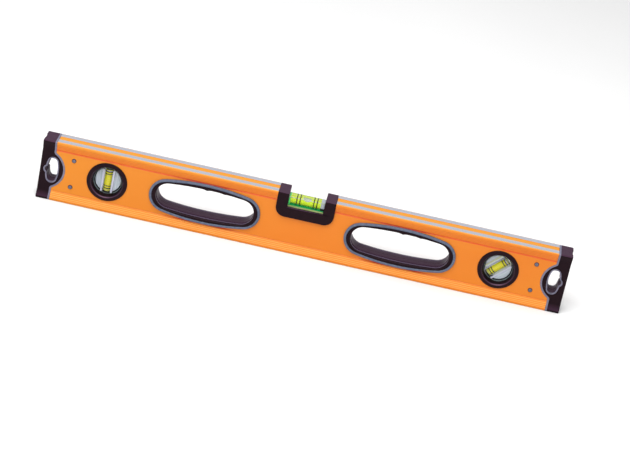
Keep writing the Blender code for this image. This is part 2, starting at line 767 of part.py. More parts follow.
make_beam()
for end_side, end_name in SIDES:
    make_end_cap(end_side, end_name)
    make_gasket(end_side, end_name)
    make_hang_rim(end_side, f"{end_name}_hang_hole_front", -1)
    make_hang_rim(end_side, f"{end_name}_hang_hole_rear", 1)
make_rivets()
make_grips()
make_level_vial()
make_round_vial(-ROUND_VIAL_X, "plumb", (0, 0, 0))
make_round_vial(ROUND_VIAL_X, "angle", FORTY_FIVE)
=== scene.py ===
"""Looks of the spirit level: fine meshes, procedural materials, light and camera.

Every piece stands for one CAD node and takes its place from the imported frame.
Metres, +Z up, X along the beam, the front faces -Y.
"""

from math import acos, atan2, cos, pi, radians, sin, sqrt, tan

import bmesh
import bpy
from mathutils import Matrix, Vector


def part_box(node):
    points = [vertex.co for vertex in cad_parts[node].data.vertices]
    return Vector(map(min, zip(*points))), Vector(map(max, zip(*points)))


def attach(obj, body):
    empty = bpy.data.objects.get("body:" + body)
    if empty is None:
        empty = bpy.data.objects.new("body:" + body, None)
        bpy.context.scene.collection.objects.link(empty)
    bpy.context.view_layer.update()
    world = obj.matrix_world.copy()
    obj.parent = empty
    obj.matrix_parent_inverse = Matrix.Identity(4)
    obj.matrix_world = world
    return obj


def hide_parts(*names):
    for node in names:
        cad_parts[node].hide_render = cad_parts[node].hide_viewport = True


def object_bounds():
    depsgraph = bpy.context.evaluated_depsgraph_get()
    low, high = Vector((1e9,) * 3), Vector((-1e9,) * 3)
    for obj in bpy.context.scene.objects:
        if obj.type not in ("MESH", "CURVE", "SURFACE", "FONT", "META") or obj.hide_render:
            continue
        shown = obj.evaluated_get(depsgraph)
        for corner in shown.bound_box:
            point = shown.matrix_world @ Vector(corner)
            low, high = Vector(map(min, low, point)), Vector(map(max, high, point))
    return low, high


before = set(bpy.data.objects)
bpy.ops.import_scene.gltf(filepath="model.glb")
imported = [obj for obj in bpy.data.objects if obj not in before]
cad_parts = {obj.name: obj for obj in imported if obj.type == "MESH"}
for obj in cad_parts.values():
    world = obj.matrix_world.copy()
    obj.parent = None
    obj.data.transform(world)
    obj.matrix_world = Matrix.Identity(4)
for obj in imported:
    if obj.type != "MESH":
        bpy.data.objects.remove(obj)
CAD_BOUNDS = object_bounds()

MM = 0.001
SIDES = ("left", "right")
FACES = ((-1, "front"), (1, "rear"))
LEVELS = ("lower", "upper")  # of the rivets
LEVEL = "level"  # the body that everything but the bubbles and the turning vial rides on


def centre(node):
    low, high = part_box(node)
    return (low + high) / 2


def extent(node):
    low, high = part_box(node)
    return high - low


# ---------------------------------------------------------------- measures

BEAM = extent("beam")
BEAM_END = BEAM.x / 2
FLANGE_HALF = BEAM.y / 2
HEIGHT = BEAM.z
MID = HEIGHT / 2
TOTAL_END = CAD_BOUNDS[1].x
WEB_HALF = FLANGE_HALF - 3 * MM
LIP_HEIGHT = 3.2 * MM
SLOPE_TOP = 10.7 * MM
EDGE_RADIUS = 1.5 * MM
RECESS_HALF = 4 * MM  # painted strip between the two milled ones
RECESS_DEPTH = 0.6 * MM
RIB_COUNT = 4
RIB_DEPTH = 0.35 * MM
RIB_STEPS = 6
CREASE_WIDTH = 1.1 * MM  # fine groove where a slope meets the web
CREASE_DEPTH = 0.45 * MM
WALL = 2 * MM
CHAMBER_WALL = 1.8 * MM
FILLET = 0.8 * MM

SEAM_RADIUS = 24.7 * MM  # of the ear's notch in the beam
SEAM_CENTRE = BEAM_END + 11.9 * MM
SEAM_FILLET = 2 * MM
GASKET_BAND = (0.2 * MM, 2.2 * MM)  # from the beam's edge
CAP_START = 2.4 * MM  # from the beam's edge
CAP_ROOT = SEAM_CENTRE - SEAM_RADIUS - WALL  # where the stock of cap and gasket starts
TONGUE_END = BEAM_END - 28 * MM
TONGUE_HALF = WEB_HALF - WALL - 0.3 * MM
TONGUE_WALL = 3 * MM
TONGUE_PLAY = 0.6 * MM  # above and below the tongue
TONGUE_EDGE = 0.6 * MM
CAP_EDGE = 1.3 * MM
CHANNEL_HALF = 6 * MM
CHANNEL_DEPTH = 1 * MM
CHANNEL_CORNER = 0.4 * MM
HANG_OVAL = (16 * MM, 7.8 * MM, 6.5 * MM)  # half height, half width, end radius
HANG_X = TOTAL_END - 14 * MM
LOBE_X = TOTAL_END - 9.2 * MM
LOBE_RADIUS = 5.4 * MM
HANG_RIM = 1.4 * MM
HANG_RIM_DEPTH = 2 * MM
HANG_WAIST = 0.8 * MM  # how much narrower the hang hole is at mid depth
RIVET_HOLE = 1.9 * MM
SOLE_GAP = 0.2 * MM  # under rims that lie on the beam

REACH = 3 * FLANGE_HALF  # half depth of cutters that go right through
BEYOND = 2 * TOTAL_END  # well past the ends

GRIP_RIM_WIDTH = 2.9 * MM
GRIP_LAP = 1.5 * MM  # how far the rim laps over the edge of the beam's hole
GRIP_OPENING = (56 * MM, 17.7 * MM, 15.5 * MM)
GRIP_END_RADIUS = 20 * MM
GRIP_STEPS = (32, 60)  # of the ovals' ends and sides
PARTING = 0.15 * MM  # half the gap between front and rear halves
NIB_PLACES = ((0, 1.1 * MM), (20 * MM, 0.6 * MM))  # finger nibs: along the grip, and their height
NIB_WIDTH = 3.2 * MM

BEZEL_LAP = 1.6 * MM  # how far a bezel laps over the edge of the beam's hole
CREST_RADIUS = 18.9 * MM  # of the bezels
ROUND_BORE = 4.9 * MM
LEVEL_BORE = 4.7 * MM
RING_GAP = 0.04 * MM  # between a bore and its reading lines
BUBBLE_GAP = 0.1 * MM
LIQUID_GAP = 0.16 * MM
RING_WIDTH = 1.2 * MM
LEVEL_HALF_DEPTH = 6.2 * MM  # of the level vial's block above its foot
LEVEL_END_WALL = 1.4 * MM  # where the block's bore stops
FOOT_HEIGHT = 1.4 * MM
HOLDER_CORNER = 11 * MM
DISC_RADIUS = 14.4 * MM  # of a round vial, which a thin wider flange holds in the bezels
DISC_HALF_WIDTH = 4 * MM
FLANGE_RADIUS = 16.8 * MM
FLANGE_HALF_WIDTH = 1 * MM
GROOVE_PLAY = 0.3 * MM  # between the flange and the bezels
GROOVE_LIP = 1 * MM  # how far a bezel reaches over the flange
REFLECTOR = (15.5 * MM, 16 * MM)  # inner and outer radius
REFLECTOR_DEPTHS = (4.6 * MM, 5.4 * MM, 6.8 * MM)  # back, notch floor and front
NOTCH_HALF = 8.6 * MM
BAR_HALF = (6.9 * MM, 7.3 * MM, 13.6 * MM)  # of a round vial's bar: across, front to back, along the tube
TUBE_WINDOW = 4.5 * MM  # how far the tube shows in the bar to either side

FRONT = Matrix.Rotation(radians(90), 4, "X")  # local z towards the front
END_ON = Matrix(((0, 0, 1, 0), (1, 0, 0, 0), (0, 1, 0, 0), (0, 0, 0, 1)))  # local z along x
HALF_TURN = Matrix.Diagonal((-1, -1, 1, 1))
REAR = Matrix.Rotation(radians(180), 4, "Z") @ FRONT
FACING = {"front": FRONT, "rear": REAR}
END_NORMAL = 0.9  # a face whose normal has at least this component lies flat on that axis


def at(x, y, z):
    return Matrix.Translation((x, y, z))


# ---------------------------------------------------------------- outlines


def arc(middle, radius, start, end, steps):
    angles = [start + (end - start) * i / steps for i in range(steps + 1)]
    return [(middle[0] + radius * cos(a), middle[1] + radius * sin(a)) for a in angles]


def rounded(corners, steps=6):
    """An outline through (x, y, radius) corners, each one rounded by an arc."""
    outline = []
    for before, corner, after in zip(corners[-1:] + corners[:-1], corners, corners[1:] + corners[:1]):
        point = Vector(corner[:2])
        radius = corner[2]
        if radius == 0:
            outline.append(tuple(point))
            continue
        back = (Vector(before[:2]) - point).normalized()
        ahead = (Vector(after[:2]) - point).normalized()
        half_angle = acos(max(-1, min(1, back.dot(ahead)))) / 2
        middle = point + (back + ahead).normalized() * (radius / sin(half_angle))
        first = point + back * (radius / tan(half_angle)) - middle
        last = point + ahead * (radius / tan(half_angle)) - middle
        start = atan2(first.y, first.x)
        sweep = (atan2(last.y, last.x) - start + pi) % (2 * pi) - pi
        outline += arc(middle, radius, start, start + sweep, steps)
    return outline


def inset(outline, amount):
    """The closed counter-clockwise outline moved inwards by this amount."""
    moved = []
    for before, point, after in zip(outline[-1:] + outline[:-1], outline, outline[1:] + outline[:1]):
        back = (Vector(point) - Vector(before)).normalized()
        ahead = (Vector(after) - Vector(point)).normalized()
        normal = Vector((-back.y - ahead.y, back.x + ahead.x)).normalized()
        spread = max(0.3, normal.dot(Vector((-back.y, back.x))))
        moved.append(tuple(Vector(point) + normal * amount / spread))
    return moved


def shrunk(oval, amount):
    """The parallel oval that lies this far inside."""
    return tuple(size - amount for size in oval)


def oval_outline(oval, end_steps=28, side_steps=20):
    """An oval of four arcs that meet smoothly, long along local x."""
    half_length, half_height, end_radius = oval
    end_x = half_length - end_radius
    side_radius = (end_x**2 + half_height**2 - end_radius**2) / (2 * (half_height - end_radius))
    side_middle = half_height - side_radius
    meet = atan2(-side_middle, end_x)
    points = arc((end_x, 0), end_radius, -meet, meet, end_steps)[:-1]
    points += arc((0, side_middle), side_radius, meet, pi - meet, side_steps)[:-1]
    return points + [(-x, -y) for x, y in points]


def section_corner(ribbed):
    """One lower corner of the beam's section: from the recess out to the flat web."""
    points = []
    if ribbed:
        recess = [(RECESS_HALF, RECESS_DEPTH, 0.25 * MM), (RECESS_HALF, 0, 0.15 * MM)]
        recess_run = [(0, RECESS_DEPTH, 0), *recess, (RECESS_HALF + 1 * MM, 0, 0)]
        points += rounded(recess_run, 3)[1:-1]
    points += arc((FLANGE_HALF - EDGE_RADIUS, EDGE_RADIUS), EDGE_RADIUS, -pi / 2, 0, 6)
    run = WEB_HALF - FLANGE_HALF
    rise = SLOPE_TOP - LIP_HEIGHT
    slope = sqrt(run**2 + rise**2)
    steps = RIB_COUNT * RIB_STEPS if ribbed else 1
    for i in range(steps + 1):
        part = i / steps
        depth = RIB_DEPTH * sin(pi * RIB_COUNT * part) ** 2 if ribbed else 0
        y = FLANGE_HALF + run * part - depth * rise / slope
        z = LIP_HEIGHT + rise * part + depth * run / slope
        points.append((y, z))
    if ribbed:
        points.append((WEB_HALF - CREASE_DEPTH, SLOPE_TOP + CREASE_WIDTH / 2))
        points.append((WEB_HALF, SLOPE_TOP + CREASE_WIDTH))
    return points


def section(ribbed):
    """The whole section from its four equal corners, counter-clockwise, in y and z."""
    lower_right = section_corner(ribbed)
    upper_right = [(y, HEIGHT - z) for y, z in reversed(lower_right)]
    right = lower_right + upper_right
    return right + [(-y, z) for y, z in reversed(right)]


def chambers():
    """The lower, main and upper hollows of the extrusion."""
    half_flange = FLANGE_HALF - WALL
    half_web = WEB_HALF - WALL
    shoulder = LIP_HEIGHT + 0.6 * MM
    floor = RECESS_DEPTH + WALL
    main_bottom = SLOPE_TOP + CHAMBER_WALL
    lower = [(-half_flange, floor, FILLET), (half_flange, floor, FILLET)]
    lower += [(half_flange, shoulder, FILLET), (half_web, SLOPE_TOP, FILLET)]
    lower += [(-half_web, SLOPE_TOP, FILLET), (-half_flange, shoulder, FILLET)]
    upper = [(y, HEIGHT - z, radius) for y, z, radius in reversed(lower)]
    main = [(-half_web, main_bottom, FILLET), (half_web, main_bottom, FILLET)]
    main += [(half_web, HEIGHT - main_bottom, FILLET), (-half_web, HEIGHT - main_bottom, FILLET)]
    return [rounded(chamber, 4) for chamber in (lower, main, upper)]


def seam(offset):
    """The beam's right edge seen from the front, moved towards the cap, as (x, z) from below up."""
    across = SEAM_CENTRE - BEAM_END + SEAM_FILLET
    up = sqrt((SEAM_RADIUS + SEAM_FILLET) ** 2 - across**2)
    turn = atan2(up, across)
    fillet = SEAM_FILLET + offset
    fillet_x = BEAM_END - SEAM_FILLET
    edge_x = BEAM_END + offset
    line = [(edge_x, -HEIGHT / 2)]
    line += arc((fillet_x, MID - up), fillet, 0, turn, 6)
    line += arc((SEAM_CENTRE, MID), SEAM_RADIUS - offset, pi + turn, pi - turn, 48)[1:-1]
    line += arc((fillet_x, MID + up), fillet, -turn, 0, 6)
    return line + [(edge_x, 1.5 * HEIGHT)]


# ---------------------------------------------------------------- meshes


def built(shape, name):
    """The mesh of a bmesh that is done with."""
    mesh = bpy.data.meshes.new(name)
    shape.to_mesh(mesh)
    shape.free()
    return mesh


def tidy_mesh(mesh):
    """Welds loose caps and turns every face outwards."""
    shape = bmesh.new()
    shape.from_mesh(mesh)
    bmesh.ops.remove_doubles(shape, verts=shape.verts, dist=0.02 * MM)
    bmesh.ops.recalc_face_normals(shape, faces=shape.faces)
    shape.to_mesh(mesh)
    shape.free()
    return mesh


def evaluated(source, *helpers):
    """The finished mesh of a temporary object, which is removed with its helpers."""
    for item in (source, *helpers):
        bpy.context.scene.collection.objects.link(item)
    graph = bpy.context.evaluated_depsgraph_get()
    mesh = bpy.data.meshes.new_from_object(source.evaluated_get(graph))
    for item in (source, *helpers):
        bpy.data.objects.remove(item)
    return tidy_mesh(mesh)


def placed(mesh, matrix):
    """A copy of the mesh, moved."""
    copy = mesh.copy()
    copy.transform(matrix)
    return copy


def plate(outlines, thickness, middle=0.0):
    """Flat outlines filled and thickened along local z; inner outlines are holes."""
    curve = bpy.data.curves.new("outline", "CURVE")
    curve.dimensions = "2D"
    curve.fill_mode = "BOTH"
    curve.extrude = thickness / 2
    for outline in outlines:
        spline = curve.splines.new("POLY")
        spline.points.add(len(outline) - 1)
        for point, (across, up) in zip(spline.points, outline):
            point.co = (across, up, 0, 1)
        spline.use_cyclic_u = True
    mesh = evaluated(bpy.data.objects.new("outline", curve))
    mesh.transform(at(0, 0, middle))
    return mesh


def side_view(outline, thickness):
    """A plate drawn in world x and z, centred on y = 0."""
    return placed(plate([outline], thickness), FRONT)


def turned(profile, steps=96):
    """A (radius, height) profile turned round local z; it is a loop unless it starts on the axis."""
    mesh = bpy.data.meshes.new("profile")
    points = [(radius, 0, height) for radius, height in profile]
    edges = [(i, i + 1) for i in range(len(points) - 1)]
    if profile[0][0] > 0:
        edges.append((len(points) - 1, 0))
    mesh.from_pydata(points, edges, [])
    lathe = bpy.data.objects.new("profile", mesh)
    screw = lathe.modifiers.new("turn", "SCREW")
    screw.steps = steps
    screw.render_steps = steps
    screw.use_merge_vertices = True
    screw.merge_threshold = 0.001 * MM
    return evaluated(lathe)


def rod(radius, bottom, top, edge=0.0, steps=64):
    """A cylinder along local z, with rounded rims if an edge radius is given."""
    if edge:
        upper = arc((radius - edge, top - edge), edge, pi / 2, 0, 4)
        lower = arc((radius - edge, bottom + edge), edge, 0, -pi / 2, 4)
        return turned([(0, top), *upper, *lower, (0, bottom)], steps)
    return turned([(0, top), (radius, top), (radius, bottom), (0, bottom)], steps)


def block(x_range, y_range, z_range):
    ranges = (x_range, y_range, z_range)
    middle = [(low + high) / 2 for low, high in ranges]
    span = [high - low for low, high in ranges]
    shape = bmesh.new()
    bmesh.ops.create_cube(shape, matrix=Matrix.LocRotScale(middle, None, span))
    return built(shape, "block")


def lofted(sections, closed=True):
    """Quads through matching (height, outline) sections.

    Closed, the last section meets the first, as on a liner. Otherwise both ends are capped.
    """
    shape = bmesh.new()
    loops = [[shape.verts.new((x, y, height)) for x, y in outline] for height, outline in sections]
    following = loops[1:] + loops[:1] if closed else loops[1:]
    for loop, after in zip(loops, following):
        for i, corner in enumerate(loop):
            j = (i + 1) % len(loop)
            shape.faces.new((corner, loop[j], after[j], after[i]))
    if not closed:
        shape.faces.new(loops[0])
        shape.faces.new(loops[-1])
    return tidy_mesh(built(shape, "loft"))


def shaped(base, *steps):
    """The base after each (operation, mesh) Boolean in turn, all in world coordinates."""
    work = bpy.data.objects.new("work", base)
    others = []
    for operation, mesh in steps:
        other = bpy.data.objects.new("operand", mesh)
        others.append(other)
        change = work.modifiers.new(operation, "BOOLEAN")
        change.operation = operation
        change.solver = "EXACT"
        change.object = other
    return evaluated(work, *others)


def softened(mesh, width):
    """The mesh with its sharp edges rounded."""
    work = bpy.data.objects.new("work", mesh)
    bevel = work.modifiers.new("soft edges", "BEVEL")
    bevel.width = width
    bevel.segments = 3
    bevel.limit_method = "ANGLE"
    bevel.angle_limit = radians(30)
    bevel.use_clamp_overlap = False
    return evaluated(work)


def add_piece(node, mesh, body, slot, *materials, sharp=30, pick=None):
    """The finished piece that stands for a CAD node; pick chooses each face's material."""
    mesh = mesh.copy()
    mesh.name = f"{node}_model"
    mesh.materials.clear()
    for material in materials:
        mesh.materials.append(material)
    mesh.shade_smooth()
    mesh.set_sharp_from_angle(angle=radians(sharp))
    for face in mesh.polygons:
        face.material_index = pick(face) if pick else 0
    piece = bpy.data.objects.new(f"{node}_model", mesh)
    bpy.context.scene.collection.objects.link(piece)
    weigh = piece.modifiers.new("even shading", "WEIGHTED_NORMAL")
    weigh.keep_sharp = True
    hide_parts(node)
    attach(piece, body)
    return piece


# ---------------------------------------------------------------- materials


def colour(red, green, blue):
    """A screen colour, 0 to 255, as scene-linear values."""
    levels = [level / 255 for level in (red, green, blue)]
    linear = [v / 12.92 if v <= 0.04045 else ((v + 0.055) / 1.055) ** 2.4 for v in levels]
    return (*linear, 1)


class Surface:
    """A material's node tree with short ways to add and join nodes."""

    def __init__(self, name, roughness, metallic=0.0, specular=0.5):
        self.material = bpy.data.materials.new(name)
        self.material.use_nodes = True
        self.nodes = self.material.node_tree.nodes
        self.links = self.material.node_tree.links
        self.shader = self.nodes["Principled BSDF"]
        self.set(roughness=roughness, metallic=metallic)
        self.shader.inputs["Specular IOR Level"].default_value = specular
        self.place = self.add("ShaderNodeTexCoord").outputs["Object"]

    def feed(self, socket, value):
        """Joins another node's result to a socket, or gives it a fixed value."""
        if isinstance(value, bpy.types.NodeSocket):
            self.links.new(value, socket)
        else:
            socket.default_value = value

    def add(self, kind, **inputs):
        node = self.nodes.new(kind)
        for name, value in inputs.items():
            self.feed(node.inputs[name.replace("_", " ")], value)
        return node

    def set(self, **inputs):
        for name, value in inputs.items():
            self.feed(self.shader.inputs[name.replace("_", " ").title()], value)

    def noise(self, size, stretch=(1, 1, 1), detail=3.0):
        """Noise whose features are about this size in metres, longer along an axis stretched by more."""
        scale = tuple(1 / size / factor for factor in stretch)
        mapping = self.add("ShaderNodeMapping", Vector=self.place, Scale=scale)
        texture = self.add("ShaderNodeTexNoise", Vector=mapping.outputs["Vector"])
        texture.inputs["Scale"].default_value = 1
        texture.inputs["Detail"].default_value = detail
        return texture.outputs["Fac"]

    def between(self, amount, low, high, start=0.3, end=0.7):
        """A value from low to high as amount goes from start to end."""
        spread = self.nodes.new("ShaderNodeMapRange")
        self.links.new(amount, spread.inputs["Value"])
        for name, value in zip(("From Min", "From Max", "To Min", "To Max"), (start, end, low, high)):
            spread.inputs[name].default_value = value
        return spread.outputs["Result"]

    def ramp(self, amount, *stops):
        """A colour that goes through (place, colour) stops."""
        ramp = self.nodes.new("ShaderNodeValToRGB")
        self.links.new(amount, ramp.inputs["Fac"])
        elements = ramp.color_ramp.elements
        while len(elements) < len(stops):
            elements.new(0.5)
        for element, (place, value) in zip(elements, stops):
            element.position = place
            element.color = value
        return ramp.outputs["Color"]

    def bump(self, height, strength, distance):
        node = self.add("ShaderNodeBump", Height=height, Strength=strength, Distance=distance)
        self.set(normal=node.outputs["Normal"])

    def math(self, operation, *values):
        """The result of a maths node; values are numbers or other results."""
        node = self.nodes.new("ShaderNodeMath")
        node.operation = operation
        for socket, value in zip(node.inputs, values):
            self.feed(socket, value)
        return node.outputs["Value"]

    def times(self, first, second):
        return self.math("MULTIPLY", first, second)

    def most(self, first, second):
        return self.math("MAXIMUM", first, second)

    def apart(self, first, second):
        """The distance between two values."""
        return self.math("ABSOLUTE", self.math("SUBTRACT", first, second))

    def mixed(self, share, first, second):
        """A colour between the first (share 0) and the second (share 1)."""
        node = self.nodes.new("ShaderNodeMix")
        node.data_type = "RGBA"
        sockets = (node.inputs["Factor"], node.inputs[6], node.inputs[7])  # 6 and 7 are the colours
        for socket, value in zip(sockets, (share, first, second)):
            self.feed(socket, value)
        return node.outputs[2]

    def axis(self, name):
        """One coordinate of the object's own frame."""
        return self.add("ShaderNodeSeparateXYZ", Vector=self.place).outputs[name]

    def depth(self, name="Y"):
        """How far from the object's middle plane across this axis."""
        return self.math("ABSOLUTE", self.axis(name))


def make_paint():
    """Orange powder coat: orange peel, slow changes of tone, painted highlights on the ribs, painted light
    on the left end and the flat faces, and painted shade on the upper slope and, red, in the creases.
    """
    paint = Surface("orange_powder_coat", roughness=0.4, specular=0.3)
    tone = paint.noise(60 * MM, (3, 1, 1), detail=2)
    body = paint.ramp(tone, (0.35, colour(206, 111, 18)), (0.65, colour(209, 118, 23)))
    # painted light: the coat grows lighter towards the beam's left end
    left = paint.between(paint.axis("X"), 0.9, 0, -BEAM_END, 0)
    body = paint.mixed(left, body, colour(206, 124, 26))
    from_middle = paint.apart(paint.axis("Z"), MID)
    upper = paint.between(paint.axis("Z"), 0, 1, MID - 1 * MM, MID + 1 * MM)

    slope_start = MID - SLOPE_TOP
    slope_end = MID - LIP_HEIGHT
    turns = 2 * pi * RIB_COUNT / (slope_end - slope_start)
    # painted highlights on the rib ridges: pale on the lower slope, redder on the upper one
    wave = paint.math("COSINE", paint.times(paint.math("SUBTRACT", from_middle, slope_start), turns))
    begins = paint.between(from_middle, 0, 1, slope_start, slope_start + 0.2 * MM)
    ends = paint.between(from_middle, 1, 0, slope_end - 0.2 * MM, slope_end)
    rib_highlight = paint.times(paint.between(wave, 0, 0.9, -0.6, 1), paint.times(begins, ends))
    # painted shade: the upper slope, which faces down, is darker and redder, most near the web
    sloping = paint.between(from_middle, 0, 1, slope_start, slope_start + 0.3 * MM)
    fading = paint.between(from_middle, 1, 0, slope_start, slope_end)
    slope_shade = paint.times(paint.times(sloping, fading), upper)
    slope_shaded = paint.mixed(slope_shade, body, colour(210, 102, 18))
    rib_highlight_colour = paint.mixed(upper, colour(242, 152, 62), colour(222, 120, 30))
    ribbed = paint.mixed(rib_highlight, slope_shaded, rib_highlight_colour)

    crease = paint.between(
        paint.apart(from_middle, slope_start - CREASE_WIDTH / 2), 1, 0, CREASE_WIDTH / 2, CREASE_WIDTH
    )
    grip_x = centre("right_grip_front").x
    from_grip = paint.apart(paint.depth("X"), grip_x)
    beside_grip = paint.between(from_grip, 1, 0, 0.2 * grip_x, 0.45 * grip_x)
    shade = paint.most(paint.between(upper, 0.1, 0.8, 0, 1), beside_grip)
    shadow = paint.mixed(beside_grip, colour(206, 70, 14), colour(176, 38, 8))
    creased = paint.mixed(paint.times(crease, shade), ribbed, shadow)

    # painted light: the painted strip's floor on the flat top and bottom faces is a lighter orange
    recess_floor = MID - RECESS_DEPTH
    recess = paint.between(from_middle, 0, 1, recess_floor - 0.1 * MM, recess_floor - 0.05 * MM)
    paint.set(base_color=paint.mixed(recess, creased, colour(206, 134, 34)))
    paint.set(roughness=paint.between(paint.noise(9 * MM), 0.36, 0.48))
    paint.bump(paint.noise(0.5 * MM), 0.12, 0.05 * MM)
    return paint.material


def make_milled():
    """Bare aluminium with milling lines along the beam."""
    milled = Surface("milled_aluminium", roughness=0.35, metallic=0.8)
    lines = milled.noise(0.25 * MM, (400, 1, 1), detail=4)
    milled.set(base_color=milled.ramp(lines, (0.3, colour(184, 188, 200)), (0.7, colour(214, 217, 228))))
    milled.set(roughness=milled.between(milled.noise(1.2 * MM, (60, 1, 1)), 0.28, 0.45))
    milled.bump(lines, 0.15, 0.03 * MM)
    return milled.material


def make_black(name, grain, roughness, specular, painted_top_light, lip=HEIGHT, lines=()):
    """Black moulded plastic with a fine grain.

    Faces that look up get painted light, a violet lightening by the given share, but not beyond the lip's
    depth from the middle plane. Lines are the depths of thin painted highlights along edges.
    """
    black = Surface(name, roughness=roughness, specular=specular)
    black.shader.inputs["Specular Tint"].default_value = (1.0, 0.6, 0.82, 1)
    black.shader.inputs["Sheen Weight"].default_value = 0.06
    black.shader.inputs["Sheen Roughness"].default_value = 0.35
    black.shader.inputs["Sheen Tint"].default_value = (0.62, 0.24, 0.74, 1)
    patches = black.noise(7 * MM)
    body = black.ramp(patches, (0.3, colour(13, 6, 7)), (0.7, colour(20, 10, 11)))
    normal = black.add("ShaderNodeNewGeometry").outputs["Normal"]
    facing_up = black.add("ShaderNodeSeparateXYZ", Vector=normal).outputs["Z"]
    depth = black.depth()
    # painted light: faces that look up, within the lip's depth, are lightened to violet
    inside = black.between(depth, painted_top_light, 0, lip, lip + 0.3 * MM)
    lit_from_above = black.times(black.between(facing_up, 0, 1, 0.1, 0.36), inside)
    tone = black.mixed(lit_from_above, body, colour(54, 34, 50))
    # painted highlights: thin pale lines at these depths on faces that look up
    for line in lines:
        edge_highlight = black.between(black.apart(depth, line), 1, 0, 0.15 * MM, 0.5 * MM)
        tone = black.mixed(black.times(edge_highlight, lit_from_above), tone, colour(104, 92, 118))
    black.set(base_color=tone)
    black.set(roughness=black.between(patches, roughness - 0.05, roughness + 0.06))
    black.bump(black.noise(grain, detail=2), 0.25, 0.04 * MM)
    return black.material


def make_grey(name, dark, light):
    """Soft matt moulding of the rims and gaskets."""
    grey = Surface(name, roughness=0.6, specular=0.2)
    patches = grey.noise(4 * MM)
    grey.set(base_color=grey.ramp(patches, (0.3, dark), (0.7, light)))
    grey.bump(grey.noise(0.3 * MM), 0.3, 0.05 * MM)
    return grey.material


def make_rivet_metal():
    rivet = Surface("rivet_metal", roughness=0.4, metallic=0.9)
    spots = rivet.noise(0.8 * MM)
    rivet.set(base_color=rivet.ramp(spots, (0.35, colour(92, 94, 112)), (0.65, colour(124, 124, 138))))
    rivet.set(roughness=rivet.between(spots, 0.3, 0.5))
    rivet.bump(rivet.noise(0.4 * MM), 0.2, 0.04 * MM)
    return rivet.material


def make_pale():
    """Pale plastic of the reflector rings and plugs."""
    pale = Surface("pale_plastic", roughness=0.3)
    patches = pale.noise(3 * MM)
    pale.set(base_color=pale.ramp(patches, (0.3, colour(66, 80, 82)), (0.7, colour(96, 110, 112))))
    pale.bump(pale.noise(0.4 * MM), 0.15, 0.04 * MM)
    return pale.material


def see_through(surface, tint, share):
    """Lets this share of the light go straight through, and all of it for shadows."""
    clear = surface.add("ShaderNodeBsdfTransparent", Color=tint)
    path = surface.add("ShaderNodeLightPath")
    mix = surface.add("ShaderNodeMixShader", Fac=surface.most(path.outputs["Is Shadow Ray"], share))
    surface.links.new(surface.shader.outputs["BSDF"], mix.inputs[1])
    surface.links.new(clear.outputs["BSDF"], mix.inputs[2])
    surface.links.new(mix.outputs["Shader"], surface.nodes["Material Output"].inputs["Surface"])


def make_disc_acrylic(name, window, painted_reflection=None):
    """Machined acrylic of a round vial: milky and streaked beside the tube, clear in front of it.

    The window is the clear strip across the tube, from its left to its right.
    The painted reflection is the faint olive strip, at this place across the tube, that stands for the tube
    mirrored by the bar's side.
    """
    disc = Surface(name, roughness=0.16, specular=0.15)
    streaks = disc.noise(0.5 * MM, (1, 1, 60), detail=2)
    broad = disc.noise(2.5 * MM, (1, 1, 40), detail=1)
    lines = disc.times(disc.math("ADD", streaks, broad), 0.5)
    milky = disc.ramp(lines, (0.38, colour(152, 168, 178)), (0.62, colour(196, 202, 216)))
    across = disc.axis("X")
    bar = disc.between(disc.depth("X"), 1, 0, BAR_HALF[0], BAR_HALF[0] + 0.4 * MM)
    tone = disc.mixed(bar, milky, colour(176, 178, 200))
    if painted_reflection:
        # painted reflection: a faint olive strip of the tube as the bar's side mirrors it
        strip = disc.between(disc.apart(across, painted_reflection), 0.75, 0, 0.7 * MM, 1.3 * MM)
        tone = disc.mixed(strip, tone, colour(150, 152, 84))
    flange = disc.between(disc.depth(), 1, 0, FLANGE_HALF_WIDTH + 0.1 * MM, FLANGE_HALF_WIDTH + 0.3 * MM)
    disc.set(base_color=disc.mixed(flange, tone, colour(30, 36, 38)))
    disc.bump(lines, 0.1, 0.05 * MM)
    left, right = window
    half = (right - left) / 2
    from_window = disc.apart(across, (left + right) / 2)
    see_through(disc, (0.97, 0.98, 0.9, 1), disc.between(from_window, 0.98, 0.2, half, half + 0.4 * MM))
    return disc.material


